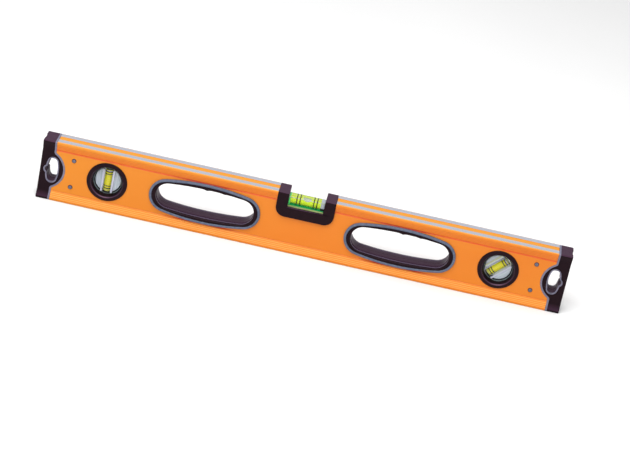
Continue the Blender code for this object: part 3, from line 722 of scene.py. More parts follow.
def make_block_acrylic():
    """Clear acrylic of the level vial's block: painted shade, green, low down; pale at the plugged end;
    painted highlights along the top edges.
    """
    low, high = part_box("level_vial_body")
    clear = Surface("clear_acrylic", roughness=0.08, specular=0.2)
    haze = clear.noise(1.5 * MM, (20, 1, 1), detail=1)
    up = clear.math("ADD", clear.axis("Z"), clear.between(haze, -0.15 * MM, 0.15 * MM))
    along = clear.axis("X")
    green_top = low.z + 3.3 * MM
    # painted shade: the block is green low down, where the liquid's lower part lies in shadow
    painted_low_shade = clear.between(up, 1, 0, green_top - 0.3 * MM, green_top + 0.2 * MM)
    pale_end = clear.between(along, 0, 1, high.x - 4.5 * MM, high.x - 4.2 * MM)
    green_end = clear.between(along, 1, 0, low.x + LEVEL_END_WALL, low.x + LEVEL_END_WALL + 0.4 * MM)
    low_down = clear.between(up, 1, 0, green_top + 0.6 * MM, green_top + 1.2 * MM)
    below = clear.math("SUBTRACT", high.z, up)
    inwards = clear.math("SUBTRACT", LEVEL_HALF_DEPTH, clear.depth())
    # painted highlight: the block is pale along its top edges
    edge = clear.between(clear.math("ADD", below, inwards), 1, 0, 0.8 * MM, 1.1 * MM)

    marks = [centre(f"level_marker_ring_{number}").x for number in (3, 4)]
    from_pair = clear.apart(clear.math("ABSOLUTE", along), sum(marks) / 2)
    mark = clear.between(clear.apart(from_pair, (marks[1] - marks[0]) / 2), 1, 0, 0.4 * MM, 0.75 * MM)

    tone = clear.mixed(painted_low_shade, colour(158, 176, 22), colour(4, 144, 72))
    tone = clear.mixed(green_end, tone, colour(84, 214, 110))
    tone = clear.mixed(pale_end, tone, colour(160, 166, 176))
    tone = clear.mixed(clear.times(pale_end, low_down), tone, colour(24, 36, 34))
    tone = clear.mixed(edge, tone, colour(160, 170, 146))
    tone = clear.mixed(clear.times(mark, 0.95), tone, colour(20, 32, 8))
    clear.set(base_color=tone, roughness=clear.between(haze, 0.05, 0.14))

    top = clear.between(up, 0, 1, high.z - 0.6 * MM, high.z - 0.5 * MM)
    rear = clear.between(clear.axis("Y"), 0, 0.95, -0.6 * MM, -0.3 * MM)
    hidden = clear.most(green_end, pale_end)
    for part in ((painted_low_shade, 0.5), (edge, 0.8), (top, rear), (mark, 0.85)):
        hidden = clear.most(hidden, clear.times(*part))
    see_through(clear, (0.97, 1, 0.95, 1), clear.between(hidden, 0.72, 0.12, 0, 1))
    return clear.material


def make_frosted():
    """Frosted foot under the level vial: its olive, and the green next to the block, are painted light that
    the vial's liquid casts on it.
    """
    frosted = Surface("frosted_acrylic", roughness=0.45)
    cloudy = frosted.noise(1.2 * MM, (12, 1, 1))
    # painted light: olive and green that the liquid casts on the foot
    olive = frosted.ramp(cloudy, (0.35, colour(104, 118, 62)), (0.65, colour(134, 146, 92)))
    near = frosted.between(frosted.depth(), 1, 0, LEVEL_HALF_DEPTH + 2.2 * MM, LEVEL_HALF_DEPTH + 2.6 * MM)
    frosted.set(base_color=frosted.mixed(near, olive, colour(10, 128, 70)))
    frosted.bump(cloudy, 0.2, 0.05 * MM)
    return frosted.material


def make_wet_bore():
    """The bore's wall, which can't be seen because the liquid wets it."""
    wet = Surface("wet_bore", roughness=0.1)
    haze = wet.noise(2 * MM)
    wet.set(base_color=wet.ramp(haze, (0.3, (0.9, 0.95, 0.9, 1)), (0.7, (1, 1, 1, 1))))
    see_through(wet, (1, 1, 1, 1), 0.97)
    return wet.material


def make_liquid(name, height_axis, bands):
    """Dyed spirit with a faint painted glow; bands are (place across the bore, colour) stops, whose darker
    stops are painted shade.
    """
    liquid = Surface(name, roughness=0.12, specular=0.2)
    level = liquid.between(liquid.axis(height_axis), 0, 1, -LEVEL_BORE, LEVEL_BORE)
    wisps = liquid.noise(2 * MM, (3, 1, 1))
    shifted = liquid.math("ADD", level, liquid.between(wisps, -0.03, 0.03))
    tone = liquid.ramp(shifted, *bands)
    liquid.set(base_color=tone, emission_color=tone)
    # painted light: a faint glow, though the liquid is no lamp
    liquid.shader.inputs["Emission Strength"].default_value = 0.1
    see_through(liquid, (0.85, 0.95, 0.2, 1), 0.08)
    return liquid.material


def make_bubble():
    """Air: a painted pale highlight in its middle and a painted green shade at its rim, where the liquid
    curves away.
    """
    air = Surface("air_bubble", roughness=0.05)
    # painted light: pale where the bubble faces the view, green shade towards its outline
    facing = air.add("ShaderNodeLayerWeight", Blend=0.35).outputs["Facing"]
    wisps = air.noise(1.5 * MM)
    air.set(base_color=air.ramp(facing, (0.25, colour(158, 156, 196)), (0.75, colour(40, 104, 52))))
    air.set(roughness=air.between(wisps, 0.02, 0.12))
    see_through(air, (0.8, 0.95, 0.7, 1), 0.1)
    return air.material


def make_plug_seen_through_liquid():
    """The plug of a round vial, with painted light: the yellow that it shows through the liquid in front of
    it.
    """
    plug = Surface("plug_seen_through_liquid", roughness=0.3)
    patches = plug.noise(1.5 * MM)
    # painted light: yellow as seen through the liquid
    plug.set(base_color=plug.ramp(patches, (0.3, colour(160, 158, 40)), (0.7, colour(178, 176, 70))))
    return plug.material


def make_ink():
    ink = Surface("marker_ink", roughness=0.5, specular=0.2)
    patches = ink.noise(0.6 * MM)
    ink.set(base_color=ink.ramp(patches, (0.3, colour(8, 12, 4)), (0.7, colour(24, 30, 8))))
    return ink.material


# ---------------------------------------------------------------- beam and ends


def through_hole(mesh, x, z):
    """A cutter drawn along local z, turned to run from front to rear at this place."""
    return ("DIFFERENCE", placed(mesh, at(x, 0, z) @ FRONT))


def rivet_holes(side):
    """Cutters for the rivets at one end."""
    hole = rod(RIVET_HOLE, -REACH, REACH, steps=24)
    places = [centre(f"{side}_front_{level}_rivet") for level in LEVELS]
    return [through_hole(hole, place.x, place.z) for place in places]


def past_seam(offset):
    """A solid of everything past the right seam, with the seam moved towards the cap."""
    return side_view(seam(offset) + [(BEYOND, 1.5 * HEIGHT), (BEYOND, -HEIGHT / 2)], REACH)


def make_beam(paint, milled):
    rim = extent("left_grip_front_rim")
    grip_oval = shrunk((rim.x / 2, rim.z / 2, GRIP_END_RADIUS), GRIP_LAP)
    grip_hole = plate([oval_outline(grip_oval)], REACH)
    vial_hole = rod(extent("plumb_vial_front_bezel").x / 2 - BEZEL_LAP, -REACH, REACH, steps=96)
    end_cut = past_seam(0)
    cuts = [("DIFFERENCE", end_cut), ("DIFFERENCE", placed(end_cut, HALF_TURN))]
    for side in SIDES:
        cuts.append(through_hole(grip_hole, centre(f"{side}_grip_front_rim").x, MID))
        cuts += rivet_holes(side)
    for vial in ("plumb", "angle"):
        cuts.append(through_hole(vial_hole, centre(f"{vial}_vial_front_bezel").x, MID))
    cuts.append(("DIFFERENCE", side_view(holder_outline(0.15 * MM, 2 * HEIGHT), REACH)))
    bar = placed(plate([section(ribbed=True), *chambers()], 2 * BEAM_END), END_ON)

    def bare(face):
        strip = RECESS_HALF < abs(face.center.y) < FLANGE_HALF - EDGE_RADIUS
        flat = abs(face.normal.z) > END_NORMAL
        outside = not 0.01 * MM < face.center.z < HEIGHT - 0.01 * MM
        return 1 if strip and flat and outside else 0

    add_piece("beam", shaped(bar, *cuts), LEVEL, "orange_paint", paint, milled, pick=bare)


def hang_outlines(shrink):
    """The right hang hole's tall oval and its lobe, by their places along x."""
    oval = [(-up, along) for along, up in oval_outline(shrunk(HANG_OVAL, shrink))]
    lobe = arc((0, 0), LOBE_RADIUS - shrink, 0, 2 * pi, 48)[:-1]
    return {HANG_X: oval, LOBE_X: lobe}


def hang_cutters():
    """The hole that stays open inside the rims, narrowest at mid depth."""
    heights = ((-FLANGE_HALF, 0), (-0.4 * MM, 0.6), (0, 1), (0.4 * MM, 0.6), (FLANGE_HALF, 0))
    cutters = []
    for x in (HANG_X, LOBE_X):
        loops = [(height, hang_outlines(HANG_RIM + share * HANG_WAIST)[x]) for height, share in heights]
        cutters.append(through_hole(lofted(loops, closed=False), x, MID))
    return cutters


def hang_plates(shrink, y_range):
    """The hang hole's outlines as two solids between two depths."""
    start, end = y_range
    plates = []
    for x, outline in hang_outlines(shrink).items():
        solid = plate([outline], end - start, -(start + end) / 2)
        plates.append(placed(solid, at(x, 0, MID) @ FRONT))
    return plates


def cap_prism(start, end, edge):
    """The beam's plain section along x, with its far end rounded by this edge radius."""
    outline = section(ribbed=False)
    sections = [(start, outline), (end - edge, outline)]
    if edge:
        for across, height in arc((0, 0), edge, 0, pi / 2, 5)[1:]:
            sections.append((end - edge + height, inset(outline, edge - across)))
    return placed(lofted(sections, closed=False), END_ON)


def tongue_heights():
    main_bottom = SLOPE_TOP + CHAMBER_WALL + TONGUE_PLAY
    return main_bottom, HEIGHT - main_bottom


def right_cap():
    """The end, its ear and the hollow tongue in one, with the holes for the hang rims and rivets."""
    low, high = tongue_heights()
    tongue = block((TONGUE_END, SEAM_CENTRE), (-TONGUE_HALF, TONGUE_HALF), (low, high))
    hollow_end = centre("right_front_lower_rivet").x + 8 * MM
    half_hollow = TONGUE_HALF - TONGUE_WALL
    hollow_z = (low + TONGUE_WALL, high - TONGUE_WALL)
    hollow = block((TONGUE_END - WALL, hollow_end), (-half_hollow, half_hollow), hollow_z)
    channel_start = TOTAL_END - CHANNEL_DEPTH
    channel = [
        (channel_start, -CHANNEL_HALF, CHANNEL_CORNER),
        (BEYOND, -CHANNEL_HALF, 0),
        (BEYOND, CHANNEL_HALF, 0),
        (channel_start, CHANNEL_HALF, CHANNEL_CORNER),
    ]
    cuts = [
        ("INTERSECT", past_seam(CAP_START)),
        ("UNION", softened(tongue, TONGUE_EDGE)),
        ("DIFFERENCE", softened(hollow, TONGUE_EDGE)),
        ("DIFFERENCE", plate([rounded(channel)], 4 * HEIGHT)),
        *hang_cutters(),
    ]
    for y_side in (-1, 1):
        pocket = sorted((y_side * (WEB_HALF - HANG_RIM_DEPTH), y_side * FLANGE_HALF))
        cuts += [("DIFFERENCE", solid) for solid in hang_plates(0, pocket)]
    return shaped(cap_prism(CAP_ROOT, TOTAL_END, CAP_EDGE), *cuts, *rivet_holes("right"))


def right_gasket():
    """The band between beam and cap, with room for the tongue."""
    inner, outer = GASKET_BAND
    band = side_view(seam(inner) + seam(outer)[::-1], REACH)
    half_room = TONGUE_HALF + WALL / 8
    room = block((TONGUE_END, BEYOND), (-half_room, half_room), tongue_heights())
    prism = cap_prism(CAP_ROOT, TOTAL_END, 0)
    return shaped(prism, ("INTERSECT", band), ("DIFFERENCE", room))


def right_hang_rim(y_side):
    """The soft rim of the hang hole on one face."""
    sole = WEB_HALF - HANG_RIM_DEPTH + SOLE_GAP
    depth = sorted((y_side * sole, y_side * (WEB_HALF + SOLE_GAP)))
    oval, lobe = hang_plates(0.15 * MM, depth)
    rim = shaped(oval, ("UNION", lobe), *hang_cutters())
    return softened(rim, 0.35 * MM)


def make_caps(black, grey):
    """End caps, gaskets and the rims of the hang holes; the left ones are half turns of the right."""
    cap = right_cap()
    gasket = right_gasket()
    rims = {face: right_hang_rim(y_side) for y_side, face in FACES}
    opposite = {"front": "rear", "rear": "front"}
    for turn, side in ((HALF_TURN, "left"), (Matrix.Identity(4), "right")):
        add_piece(f"{side}_end_cap", placed(cap, turn), LEVEL, "black_plastic", black)
        add_piece(f"{side}_cap_gasket", placed(gasket, turn), LEVEL, "soft_grey", grey)
        for face, rim in rims.items():
            shown = face if side == "right" else opposite[face]
            node = f"{side}_hang_hole_{shown}_rim"
            add_piece(node, placed(rim, turn), LEVEL, "soft_grey", grey)


def make_rivets(metal, black):
    """Domed heads with the dimple that the mandrel leaves, and a painted shadow line round each head."""
    box = extent("left_front_lower_rivet")
    radius = box.x / 2
    head = 1.1 * MM
    shank = 1.6 * MM
    sole = 0.05 * MM
    dimple = 0.3 * radius
    profile = [(0, 0.5 * head), (dimple * 0.8, 0.52 * head), (dimple, 0.92 * head), (1.25 * dimple, head)]
    for i in range(1, 8):
        turn = radians(90) * i / 7
        profile.append((1.25 * dimple + (radius - 1.25 * dimple) * sin(turn), head * cos(turn) ** 0.8))
    profile[-1] = (radius, sole)
    profile += [(shank, sole), (shank, head - box.y), (0, head - box.y)]
    mesh = turned(profile, 32)
    for side in SIDES:
        for y_side, face in FACES:
            for level in LEVELS:
                node = f"{side}_{face}_{level}_rivet"
                place = centre(node)
                matrix = at(place.x, y_side * WEB_HALF, place.z) @ FACING[face]

                # painted shadow: the outer edge of each head takes the black plastic
                def rim(shape, place=place):
                    away = sqrt((shape.center.x - place.x) ** 2 + (shape.center.z - place.z) ** 2)
                    return 1 if away > 0.78 * radius else 0

                add_piece(node, placed(mesh, matrix), LEVEL, "rivet_metal", metal, black, pick=rim)


# ---------------------------------------------------------------- hand grips


def blended(first, second, share):
    return tuple(a + (b - a) * share for a, b in zip(first, second))


def nibbed(outline, turn, strength):
    """The oval with small finger nibs pressed into its upper side."""
    moved = []
    for x, y in outline:
        drop = 0.0
        for place, height in NIB_PLACES:
            distance = (x - turn * place) / NIB_WIDTH
            drop += height / (1 + distance**2) ** 2 if y > 0 else 0
        moved.append((x, y - strength * drop))
    return moved


def grip_sections(turn):
    """A liner from the parting at mid depth out to its lip and back under the rim."""
    rim = extent("left_grip_front_rim")
    outer = (rim.x / 2, rim.z / 2, GRIP_END_RADIUS)
    lip_outer = shrunk(outer, GRIP_RIM_WIDTH + 0.3 * MM)
    sleeve = shrunk(outer, GRIP_LAP + 0.3 * MM)
    front = extent("left_grip_front").y + PARTING
    waist = shrunk(GRIP_OPENING, 0.75 * MM)
    # a straight wall with a groove and a step near the lip: depth and widening in mm
    wall = [(0.08, 0.25), (0.25, 0.05), (0.6, 0), (5.6, 0.08), (6.6, 0.2), (7.05, 0.45), (7.2, 0.9)]
    wall += [(7.25, 1.3), (7.75, 1.3), (7.85, 0.85), (8.1, 0.62), (8.7, 0.6), (10.6, 0.7), (11.3, 0.95)]
    # the round lip: how far behind its front in mm, and the share of the way out to the rim
    lip = [(0.55, 0.12), (0.2, 0.3), (0, 0.5), (0, 0.8), (0.15, 0.95), (0.5, 1)]
    loops = []
    for depth, widening in wall:
        outline = oval_outline(shrunk(waist, -widening * MM), *GRIP_STEPS)
        loops.append((depth * MM, nibbed(outline, turn, 1)))
    lip_inner = shrunk(waist, -0.9 * MM)
    for behind, share in lip:
        outline = oval_outline(blended(lip_inner, lip_outer, share), *GRIP_STEPS)
        loops.append((front - behind * MM, nibbed(outline, turn, 1 - share)))
    under = WEB_HALF - SOLE_GAP
    for height, oval in ((under, lip_outer), (under, sleeve), (wall[0][0] * MM, sleeve)):
        loops.append((height, oval_outline(oval, *GRIP_STEPS)))
    return loops


def make_grips(black, grey):
    rim = extent("left_grip_front_rim")
    outer = (rim.x / 2, rim.z / 2, GRIP_END_RADIUS)
    back = WEB_HALF + 0.05 * MM
    top = WEB_HALF + SOLE_GAP + rim.y
    # a domed band: how far below its top, and how far in from its outer edge, in mm
    dome = [(1.1, 0), (0.6, 0.12), (0.25, 0.4), (0.05, 0.85), (0, 1.3)]
    dome += [(0.02, 1.9), (0.15, 2.4), (0.45, 2.75), (0.9, 2.88)]
    profile = [(back, 0.1), *((top - below * MM, across) for below, across in dome), (back, dome[-1][1])]
    ovals = [(height, shrunk(outer, across * MM)) for height, across in profile]
    rim_mesh = lofted([(height, oval_outline(oval, *GRIP_STEPS)) for height, oval in ovals])
    for side in SIDES:
        for face, turn in (("front", 1), ("rear", -1)):
            x = centre(f"{side}_grip_{face}").x
            matrix = at(x, 0, MID) @ FACING[face]
            liner = placed(lofted(grip_sections(turn)), matrix)
            add_piece(f"{side}_grip_{face}", liner, LEVEL, "black_plastic", black)
            add_piece(f"{side}_grip_{face}_rim", placed(rim_mesh, matrix), LEVEL, "soft_grey", grey)


# ---------------------------------------------------------------- level vial


def holder_outline(margin, top):
    """The holder seen from the front, round below; margin is added all round but at the top."""
    low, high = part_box("level_vial_holder")
    radius = HOLDER_CORNER + margin
    left, right, bottom = low.x - margin, high.x + margin, low.z - margin
    return rounded([(left, bottom, radius), (right, bottom, radius), (right, top, 0), (left, top, 0)], 16)


def make_holder(black):
    low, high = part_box("level_vial_holder")
    body_low, body_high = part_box("level_vial_body")
    window = body_high.x + 0.3 * MM
    floor = body_low.z - 0.3 * MM
    corners = [
        (low.x, low.z, HOLDER_CORNER),
        (high.x, low.z, HOLDER_CORNER),
        (high.x, high.z, 0),
        (window, high.z, 0),
        (window, floor, FILLET),
        (-window, floor, FILLET),
        (-window, high.z, 0),
        (low.x, high.z, 0),
    ]
    holder = softened(side_view(rounded(corners, 16), high.y - low.y), 0.55 * MM)
    add_piece("level_vial_holder", holder, LEVEL, "black_plastic", black)


def make_level_vial(clear, wet, frosted, pale, liquid, air, ink):
    low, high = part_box("level_vial_body")
    foot_top = low.z + FOOT_HEIGHT
    axis_z = centre("level_vial_plug").z
    frame_matrix = at(0, 0, axis_z) @ END_ON
    depth = (-LEVEL_HALF_DEPTH, LEVEL_HALF_DEPTH)
    main = softened(block((low.x, high.x), depth, (low.z, high.z)), 0.35 * MM)
    foot = softened(block((low.x, high.x), (low.y, high.y), (low.z, foot_top)), 0.3 * MM)
    bore = placed(rod(LEVEL_BORE, low.x + LEVEL_END_WALL, 2 * high.x), frame_matrix)
    body = shaped(main, ("UNION", foot), ("DIFFERENCE", bore))

    def part(face):
        """0 is the block, 1 the bore's wall and 2 the foot."""
        away = sqrt(face.center.y**2 + (face.center.z - axis_z) ** 2)
        if away < LEVEL_BORE + 0.05 * MM and abs(face.normal.x) < END_NORMAL:
            return 1
        return 2 if abs(face.center.y) > LEVEL_HALF_DEPTH + 0.1 * MM else 0

    add_piece("level_vial_body", body, LEVEL, "clear_acrylic", clear, wet, frosted, pick=part)
    plug_low, plug_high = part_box("level_vial_plug")
    plug = rod(LEVEL_BORE - BUBBLE_GAP, plug_low.x, plug_high.x - 0.2 * MM, 0.4 * MM)
    add_tube_piece("level_vial_plug", plug, frame_matrix, LEVEL, "pale_plastic", pale)
    liquid_low, liquid_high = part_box("level_vial_liquid")
    spirit = rod(LEVEL_BORE - LIQUID_GAP, liquid_low.x - 0.2 * MM, liquid_high.x + 0.2 * MM, 0.3 * MM)
    add_tube_piece("level_vial_liquid", spirit, frame_matrix, LEVEL, "vial_liquid", liquid)
    for number in (1, 2, 3, 4):
        node = f"level_marker_ring_{number}"
        matrix = at(centre(node).x, 0, axis_z) @ END_ON
        add_tube_piece(node, marker_ring(LEVEL_BORE), matrix, LEVEL, "marker_ink", ink)
    matrix = at(centre("level_bubble").x, 0, axis_z) @ END_ON
    bubble = long_bubble(extent("level_bubble").x)
    add_tube_piece("level_bubble", bubble, matrix, "level_bubble", "air", air)


def add_tube_piece(node, mesh, matrix, body, slot, *materials):
    """A piece that keeps its own frame, with local z along its tube."""
    piece = add_piece(node, mesh, body, slot, *materials)
    piece.matrix_world = matrix
    return piece


def marker_ring(bore):
    """A reading line round the bore."""
    outer = bore - RING_GAP
    inner = bore - BUBBLE_GAP + 0.01 * MM
    half = RING_WIDTH / 2
    return turned([(outer, half), (outer, -half), (inner, -half), (inner, half)])


def long_bubble(length):
    """A bubble against the top of a lying tube (local y up): an ellipsoid kept inside the bore."""
    radius = LEVEL_BORE - BUBBLE_GAP
    half_width = 4.6 * MM
    half_height = 2.9 * MM
    rise = 3.3 * MM
    matrix = at(0, rise, 0) @ Matrix.Diagonal((half_width, half_height, length / 2, 1))
    shape = bmesh.new()
    bmesh.ops.create_uvsphere(shape, u_segments=64, v_segments=40, radius=1, matrix=matrix)
    for corner in shape.verts:
        away = sqrt(corner.co.x**2 + corner.co.y**2)
        if away > radius:
            corner.co.x *= radius / away
            corner.co.y *= radius / away
    return built(shape, "bubble")


# ---------------------------------------------------------------- round vials


def make_bezels(vial, plastic, edge_plastic):
    """Turned rings that rise to a crest, with a chamfer inside it that is glossier and has painted light on
    its upward faces, and a dish down to the vial.
    """
    radius = extent(f"{vial}_vial_front_bezel").x / 2
    crest = -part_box(f"{vial}_vial_front_bezel")[0].y
    seat = extent(f"{vial}_vial_body").x / 2 - 0.5 * MM
    shoulder = WEB_HALF + 1.2 * MM
    rim_inner = CREST_RADIUS - 0.9 * MM
    step = crest - 2 * MM
    dish_end = -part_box(f"{vial}_vial_front_reflector")[0].y
    sleeve = radius - BEZEL_LAP - 0.3 * MM
    under = WEB_HALF + 0.1 * MM
    groove = FLANGE_RADIUS + GROOVE_PLAY
    groove_side = FLANGE_HALF_WIDTH + GROOVE_PLAY
    throat = FLANGE_RADIUS - GROOVE_LIP
    reflector_back = REFLECTOR_DEPTHS[0] - GROOVE_PLAY
    profile = arc((radius - 0.9 * MM, shoulder - 0.9 * MM), 0.9 * MM, radians(75), 0, 6)
    profile += [(radius, under), (sleeve, under), (sleeve, PARTING), (groove, PARTING)]
    profile += [(groove, groove_side), (throat, groove_side), (throat, reflector_back - 0.9 * MM)]
    profile += [(throat + 0.2 * MM, reflector_back - 0.7 * MM), (seat, reflector_back)]
    profile += arc((seat + 0.5 * MM, dish_end - 0.3 * MM), 0.5 * MM, pi, radians(120), 4)
    profile += arc((rim_inner - 0.4 * MM, step + 0.4 * MM), 0.4 * MM, radians(-60), 0, 4)
    profile += [(rim_inner, crest - 1 * MM), (CREST_RADIUS, crest - 0.1 * MM)]
    profile.append((CREST_RADIUS + 0.4 * MM, crest))
    mesh = turned(profile, 128)
    x = centre(f"{vial}_vial_front_bezel").x

    def chamfer(face):
        away = sqrt((face.center.x - x) ** 2 + (face.center.z - MID) ** 2)
        return 1 if rim_inner < away < CREST_RADIUS and abs(face.center.y) > crest - 1 * MM else 0

    for face, matrix in FACING.items():
        ring = placed(mesh, at(x, 0, MID) @ matrix)
        node = f"{vial}_vial_{face}_bezel"
        add_piece(node, ring, LEVEL, "black_plastic", plastic, edge_plastic, sharp=40, pick=chamfer)


def make_reflectors(vial, tilt, body, pale):
    """Pale walls round the vial, notched where its bar ends."""
    inner, outer = REFLECTOR
    back, notch_floor, front = REFLECTOR_DEPTHS
    edge = 0.12 * MM
    corners = [(outer, front, edge), (outer, back, edge), (inner, back, edge), (inner, front, edge)]
    ring = turned(rounded(corners, 3), 128)
    notch = block((-NOTCH_HALF, NOTCH_HALF), (-2 * outer, 2 * outer), (notch_floor, 2 * front))
    mesh = shaped(ring, ("DIFFERENCE", notch))
    x = centre(f"{vial}_vial_front_bezel").x
    for face, matrix in FACING.items():
        wall = placed(mesh, at(x, 0, MID) @ tilt @ matrix)
        add_piece(f"{vial}_vial_{face}_reflector", wall, body, "pale_plastic", pale)


def slug(length):
    """Air at the end of a standing tube: as wide as the bore, rounded below."""
    radius = ROUND_BORE - BUBBLE_GAP
    half = length / 2
    edge = 1 * MM
    dome = 0.9 * MM
    profile = [(0, half)] + arc((radius - edge, half - edge), edge, pi / 2, 0, 5)
    for i in range(9):
        turn = radians(90) * i / 8
        profile.append((radius * cos(turn), dome - half - dome * sin(turn)))
    profile[-1] = (0, -half)
    return turned(profile)


def make_round_vial(vial, tilt, body, bubble_body, acrylic, wet, plug, liquid, air, ink):
    x = centre(f"{vial}_vial_front_bezel").x
    frame_matrix = at(x, 0, MID) @ tilt
    disc = placed(rod(DISC_RADIUS, -DISC_HALF_WIDTH, DISC_HALF_WIDTH, 0.35 * MM, 128), FRONT)
    flange = placed(rod(FLANGE_RADIUS, -FLANGE_HALF_WIDTH, FLANGE_HALF_WIDTH, 0.2 * MM, 128), FRONT)
    bar = softened(block(*((-half, half) for half in BAR_HALF)), 0.5 * MM)
    bore_end = BAR_HALF[2] - 0.9 * MM
    bore = rod(ROUND_BORE, -2 * BAR_HALF[2], bore_end)
    mesh = shaped(disc, ("UNION", flange), ("UNION", bar), ("DIFFERENCE", bore))

    def part(face):
        """0 is the acrylic and 1 the bore's wall."""
        away = sqrt(face.center.x**2 + face.center.y**2)
        return 1 if away < ROUND_BORE + 0.05 * MM and abs(face.normal.z) < END_NORMAL else 0

    piece = add_piece(f"{vial}_vial_body", mesh, body, "clear_acrylic", acrylic, wet, pick=part)
    piece.matrix_world = frame_matrix
    plug_start = 0.2 * MM - BAR_HALF[2]
    plug_end = plug_start + 2 * MM
    stopper = rod(ROUND_BORE - BUBBLE_GAP, plug_start, plug_end, 0.3 * MM)
    add_tube_piece(f"{vial}_vial_plug", stopper, frame_matrix, body, "pale_plastic", plug)
    spirit = rod(ROUND_BORE - LIQUID_GAP, plug_end + 0.1 * MM, bore_end - 0.35 * MM, 0.2 * MM)
    add_tube_piece(f"{vial}_vial_liquid", spirit, frame_matrix, body, "vial_liquid", liquid)
    for number in (1, 2, 3, 4):
        node = f"{vial}_marker_ring_{number}"
        add_tube_piece(node, marker_ring(ROUND_BORE), at(*centre(node)) @ tilt, body, "marker_ink", ink)
    node = f"{vial}_bubble"
    bubble = slug(extent("plumb_bubble").z)
    add_tube_piece(node, bubble, at(*centre(node)) @ tilt, bubble_body, "air", air)


# ---------------------------------------------------------------- stage


def make_floor():
    mesh = block((-4, 4), (-4, 4), (-0.01, 0))
    surface = Surface("pale_floor", roughness=0.9, specular=0.1)
    cloudy = surface.noise(0.6)
    surface.set(base_color=surface.ramp(cloudy, (0.3, colour(228, 228, 228)), (0.7, colour(232, 232, 232))))
    mesh.materials.append(surface.material)
    floor = bpy.data.objects.new("floor", mesh)
    bpy.context.scene.collection.objects.link(floor)


def add_light(name, place, power, width, height):
    """A softbox that faces the middle of the level."""
    light = bpy.data.lights.new(name, "AREA")
    light.shape = "RECTANGLE"
    light.size = width
    light.size_y = height
    light.energy = power
    lamp = bpy.data.objects.new(name, light)
    lamp.location = place
    lamp.rotation_euler = (Vector((0, 0, MID)) - Vector(place)).to_track_quat("-Z", "Y").to_euler()
    bpy.context.scene.collection.objects.link(lamp)


def light_scene():
    world = bpy.data.worlds.new("studio")
    world.use_nodes = True
    background = world.node_tree.nodes["Background"]
    background.inputs["Color"].default_value = (1, 1, 1, 1)
    background.inputs["Strength"].default_value = 0.6
    bpy.context.scene.world = world
    add_light("key_softbox", (-0.25, -0.8, 1.6), 33, 1.6, 1.1)
    add_light("low_front_panel", (0, -2.1, 0.7), 8, 2.4, 0.7)
    add_light("overhead_softbox", (0, 0.5, 1.5), 9, 2.4, 1.2)


def add_camera():
    """A long lens from above and in front, rolled so that the level slopes down to the right."""
    scene = bpy.context.scene
    azimuth = radians(2)
    elevation = radians(25.6)
    distance = 2.493
    roll = radians(11.74)
    target = Vector((0, 0, MID))
    away = Vector((sin(azimuth) * cos(elevation), -cos(azimuth) * cos(elevation), sin(elevation)))
    lens = bpy.data.cameras.new("camera")
    lens.sensor_width = 36
    lens.lens = 127.6
    lens.shift_x = 0.019
    lens.shift_y = -0.0088
    camera = bpy.data.objects.new("camera", lens)
    camera.location = target + away * distance
    look = (-away).to_track_quat("-Z", "Y")
    camera.rotation_mode = "QUATERNION"
    camera.rotation_quaternion = look @ Matrix.Rotation(roll, 3, "Z").to_quaternion()
    scene.collection.objects.link(camera)
    scene.camera = camera


def set_look():
    scene = bpy.context.scene
    scene.view_settings.view_transform = "Standard"
    scene.view_settings.look = "None"
    scene.cycles.max_bounces = 16
    scene.cycles.transmission_bounces = 12
    scene.cycles.transparent_max_bounces = 24
    scene.cycles.caustics_refractive = True
    scene.cycles.use_denoising = True


# ---------------------------------------------------------------- the level

paint = make_paint()
milled = make_milled()
# each black lightens its upward faces by its given share: painted light
black = make_black("black_plastic", grain=0.35 * MM, roughness=0.42, specular=0.14, painted_top_light=1)
bezel_black = make_black("bezel_plastic", grain=0.6 * MM, roughness=0.34, specular=0.16, painted_top_light=0)
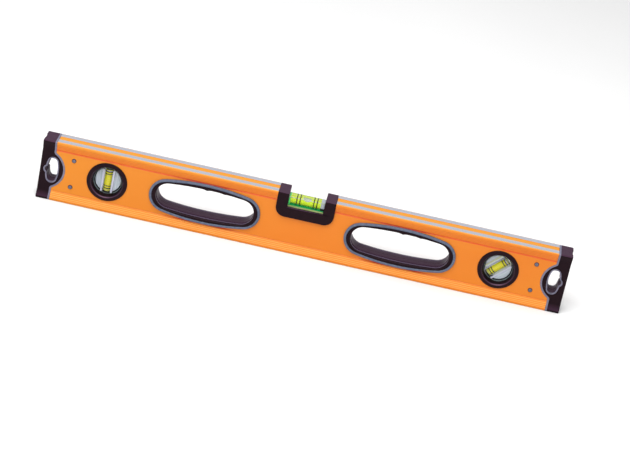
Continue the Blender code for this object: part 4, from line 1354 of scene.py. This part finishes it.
# the bezels' chamfer: glossier, with painted light on its upward faces
edge_black = make_black("bezel_edge_plastic", grain=0.5 * MM, roughness=0.4, specular=0.5, painted_top_light=1)
grip_black = make_black(
    "grip_plastic",
    grain=0.5 * MM,
    roughness=0.4,
    specular=0.14,
    painted_top_light=0.9,
    lip=10.2 * MM,
    # depths of painted highlights along the liner's edges
    lines=(8.2 * MM, 9.9 * MM),
)
grey = make_grey("soft_grey", colour(98, 98, 116), colour(120, 116, 134))
rim_grey = make_grey("rim_grey", colour(76, 84, 102), colour(94, 102, 122))
rivet_metal = make_rivet_metal()
pale = make_pale()
plumb_acrylic = make_disc_acrylic("plumb_vial_acrylic", (-TUBE_WINDOW, TUBE_WINDOW))
angle_window = (-TUBE_WINDOW - 1.8 * MM, TUBE_WINDOW)
angle_acrylic = make_disc_acrylic("angle_vial_acrylic", angle_window, painted_reflection=-9.4 * MM)
block_acrylic = make_block_acrylic()
wet_bore = make_wet_bore()
frosted = make_frosted()
plug_seen_through_liquid = make_plug_seen_through_liquid()
air = make_bubble()
ink = make_ink()
# painted shade: the round vials' liquid is duller towards the tube's sides
yellow = colour(198, 188, 4)
shaded_yellow = colour(184, 186, 10)
round_bands = ((0, shaded_yellow), (0.3, yellow), (0.7, yellow), (1, shaded_yellow))
round_liquid = make_liquid("round_vial_liquid", "X", round_bands)
# painted shade: the level vial's liquid is dark green low down
level_bands = (
    (0, colour(4, 104, 56)),
    (0.2, colour(10, 134, 64)),
    (0.32, colour(202, 228, 30)),
    (1, colour(184, 194, 20)),
)
level_liquid = make_liquid("level_vial_liquid", "Y", level_bands)

make_beam(paint, milled)
make_caps(black, grey)
make_rivets(rivet_metal, black)
make_grips(grip_black, rim_grey)
make_holder(black)
make_level_vial(block_acrylic, wet_bore, frosted, pale, level_liquid, air, ink)
for vial, tilt, body, bubble_body, acrylic in (
    ("plumb", Matrix.Identity(4), LEVEL, "plumb_bubble", plumb_acrylic),
    ("angle", Matrix.Rotation(radians(45), 4, "Y"), "angle_vial", "angle_bubble", angle_acrylic),
):
    make_bezels(vial, bezel_black, edge_black)
    make_reflectors(vial, tilt, body, pale)
    make_round_vial(vial, tilt, body, bubble_body, acrylic, wet_bore, plug_seen_through_liquid, round_liquid, air, ink)

make_floor()
light_scene()
add_camera()
set_look()

bpy.context.view_layer.update()
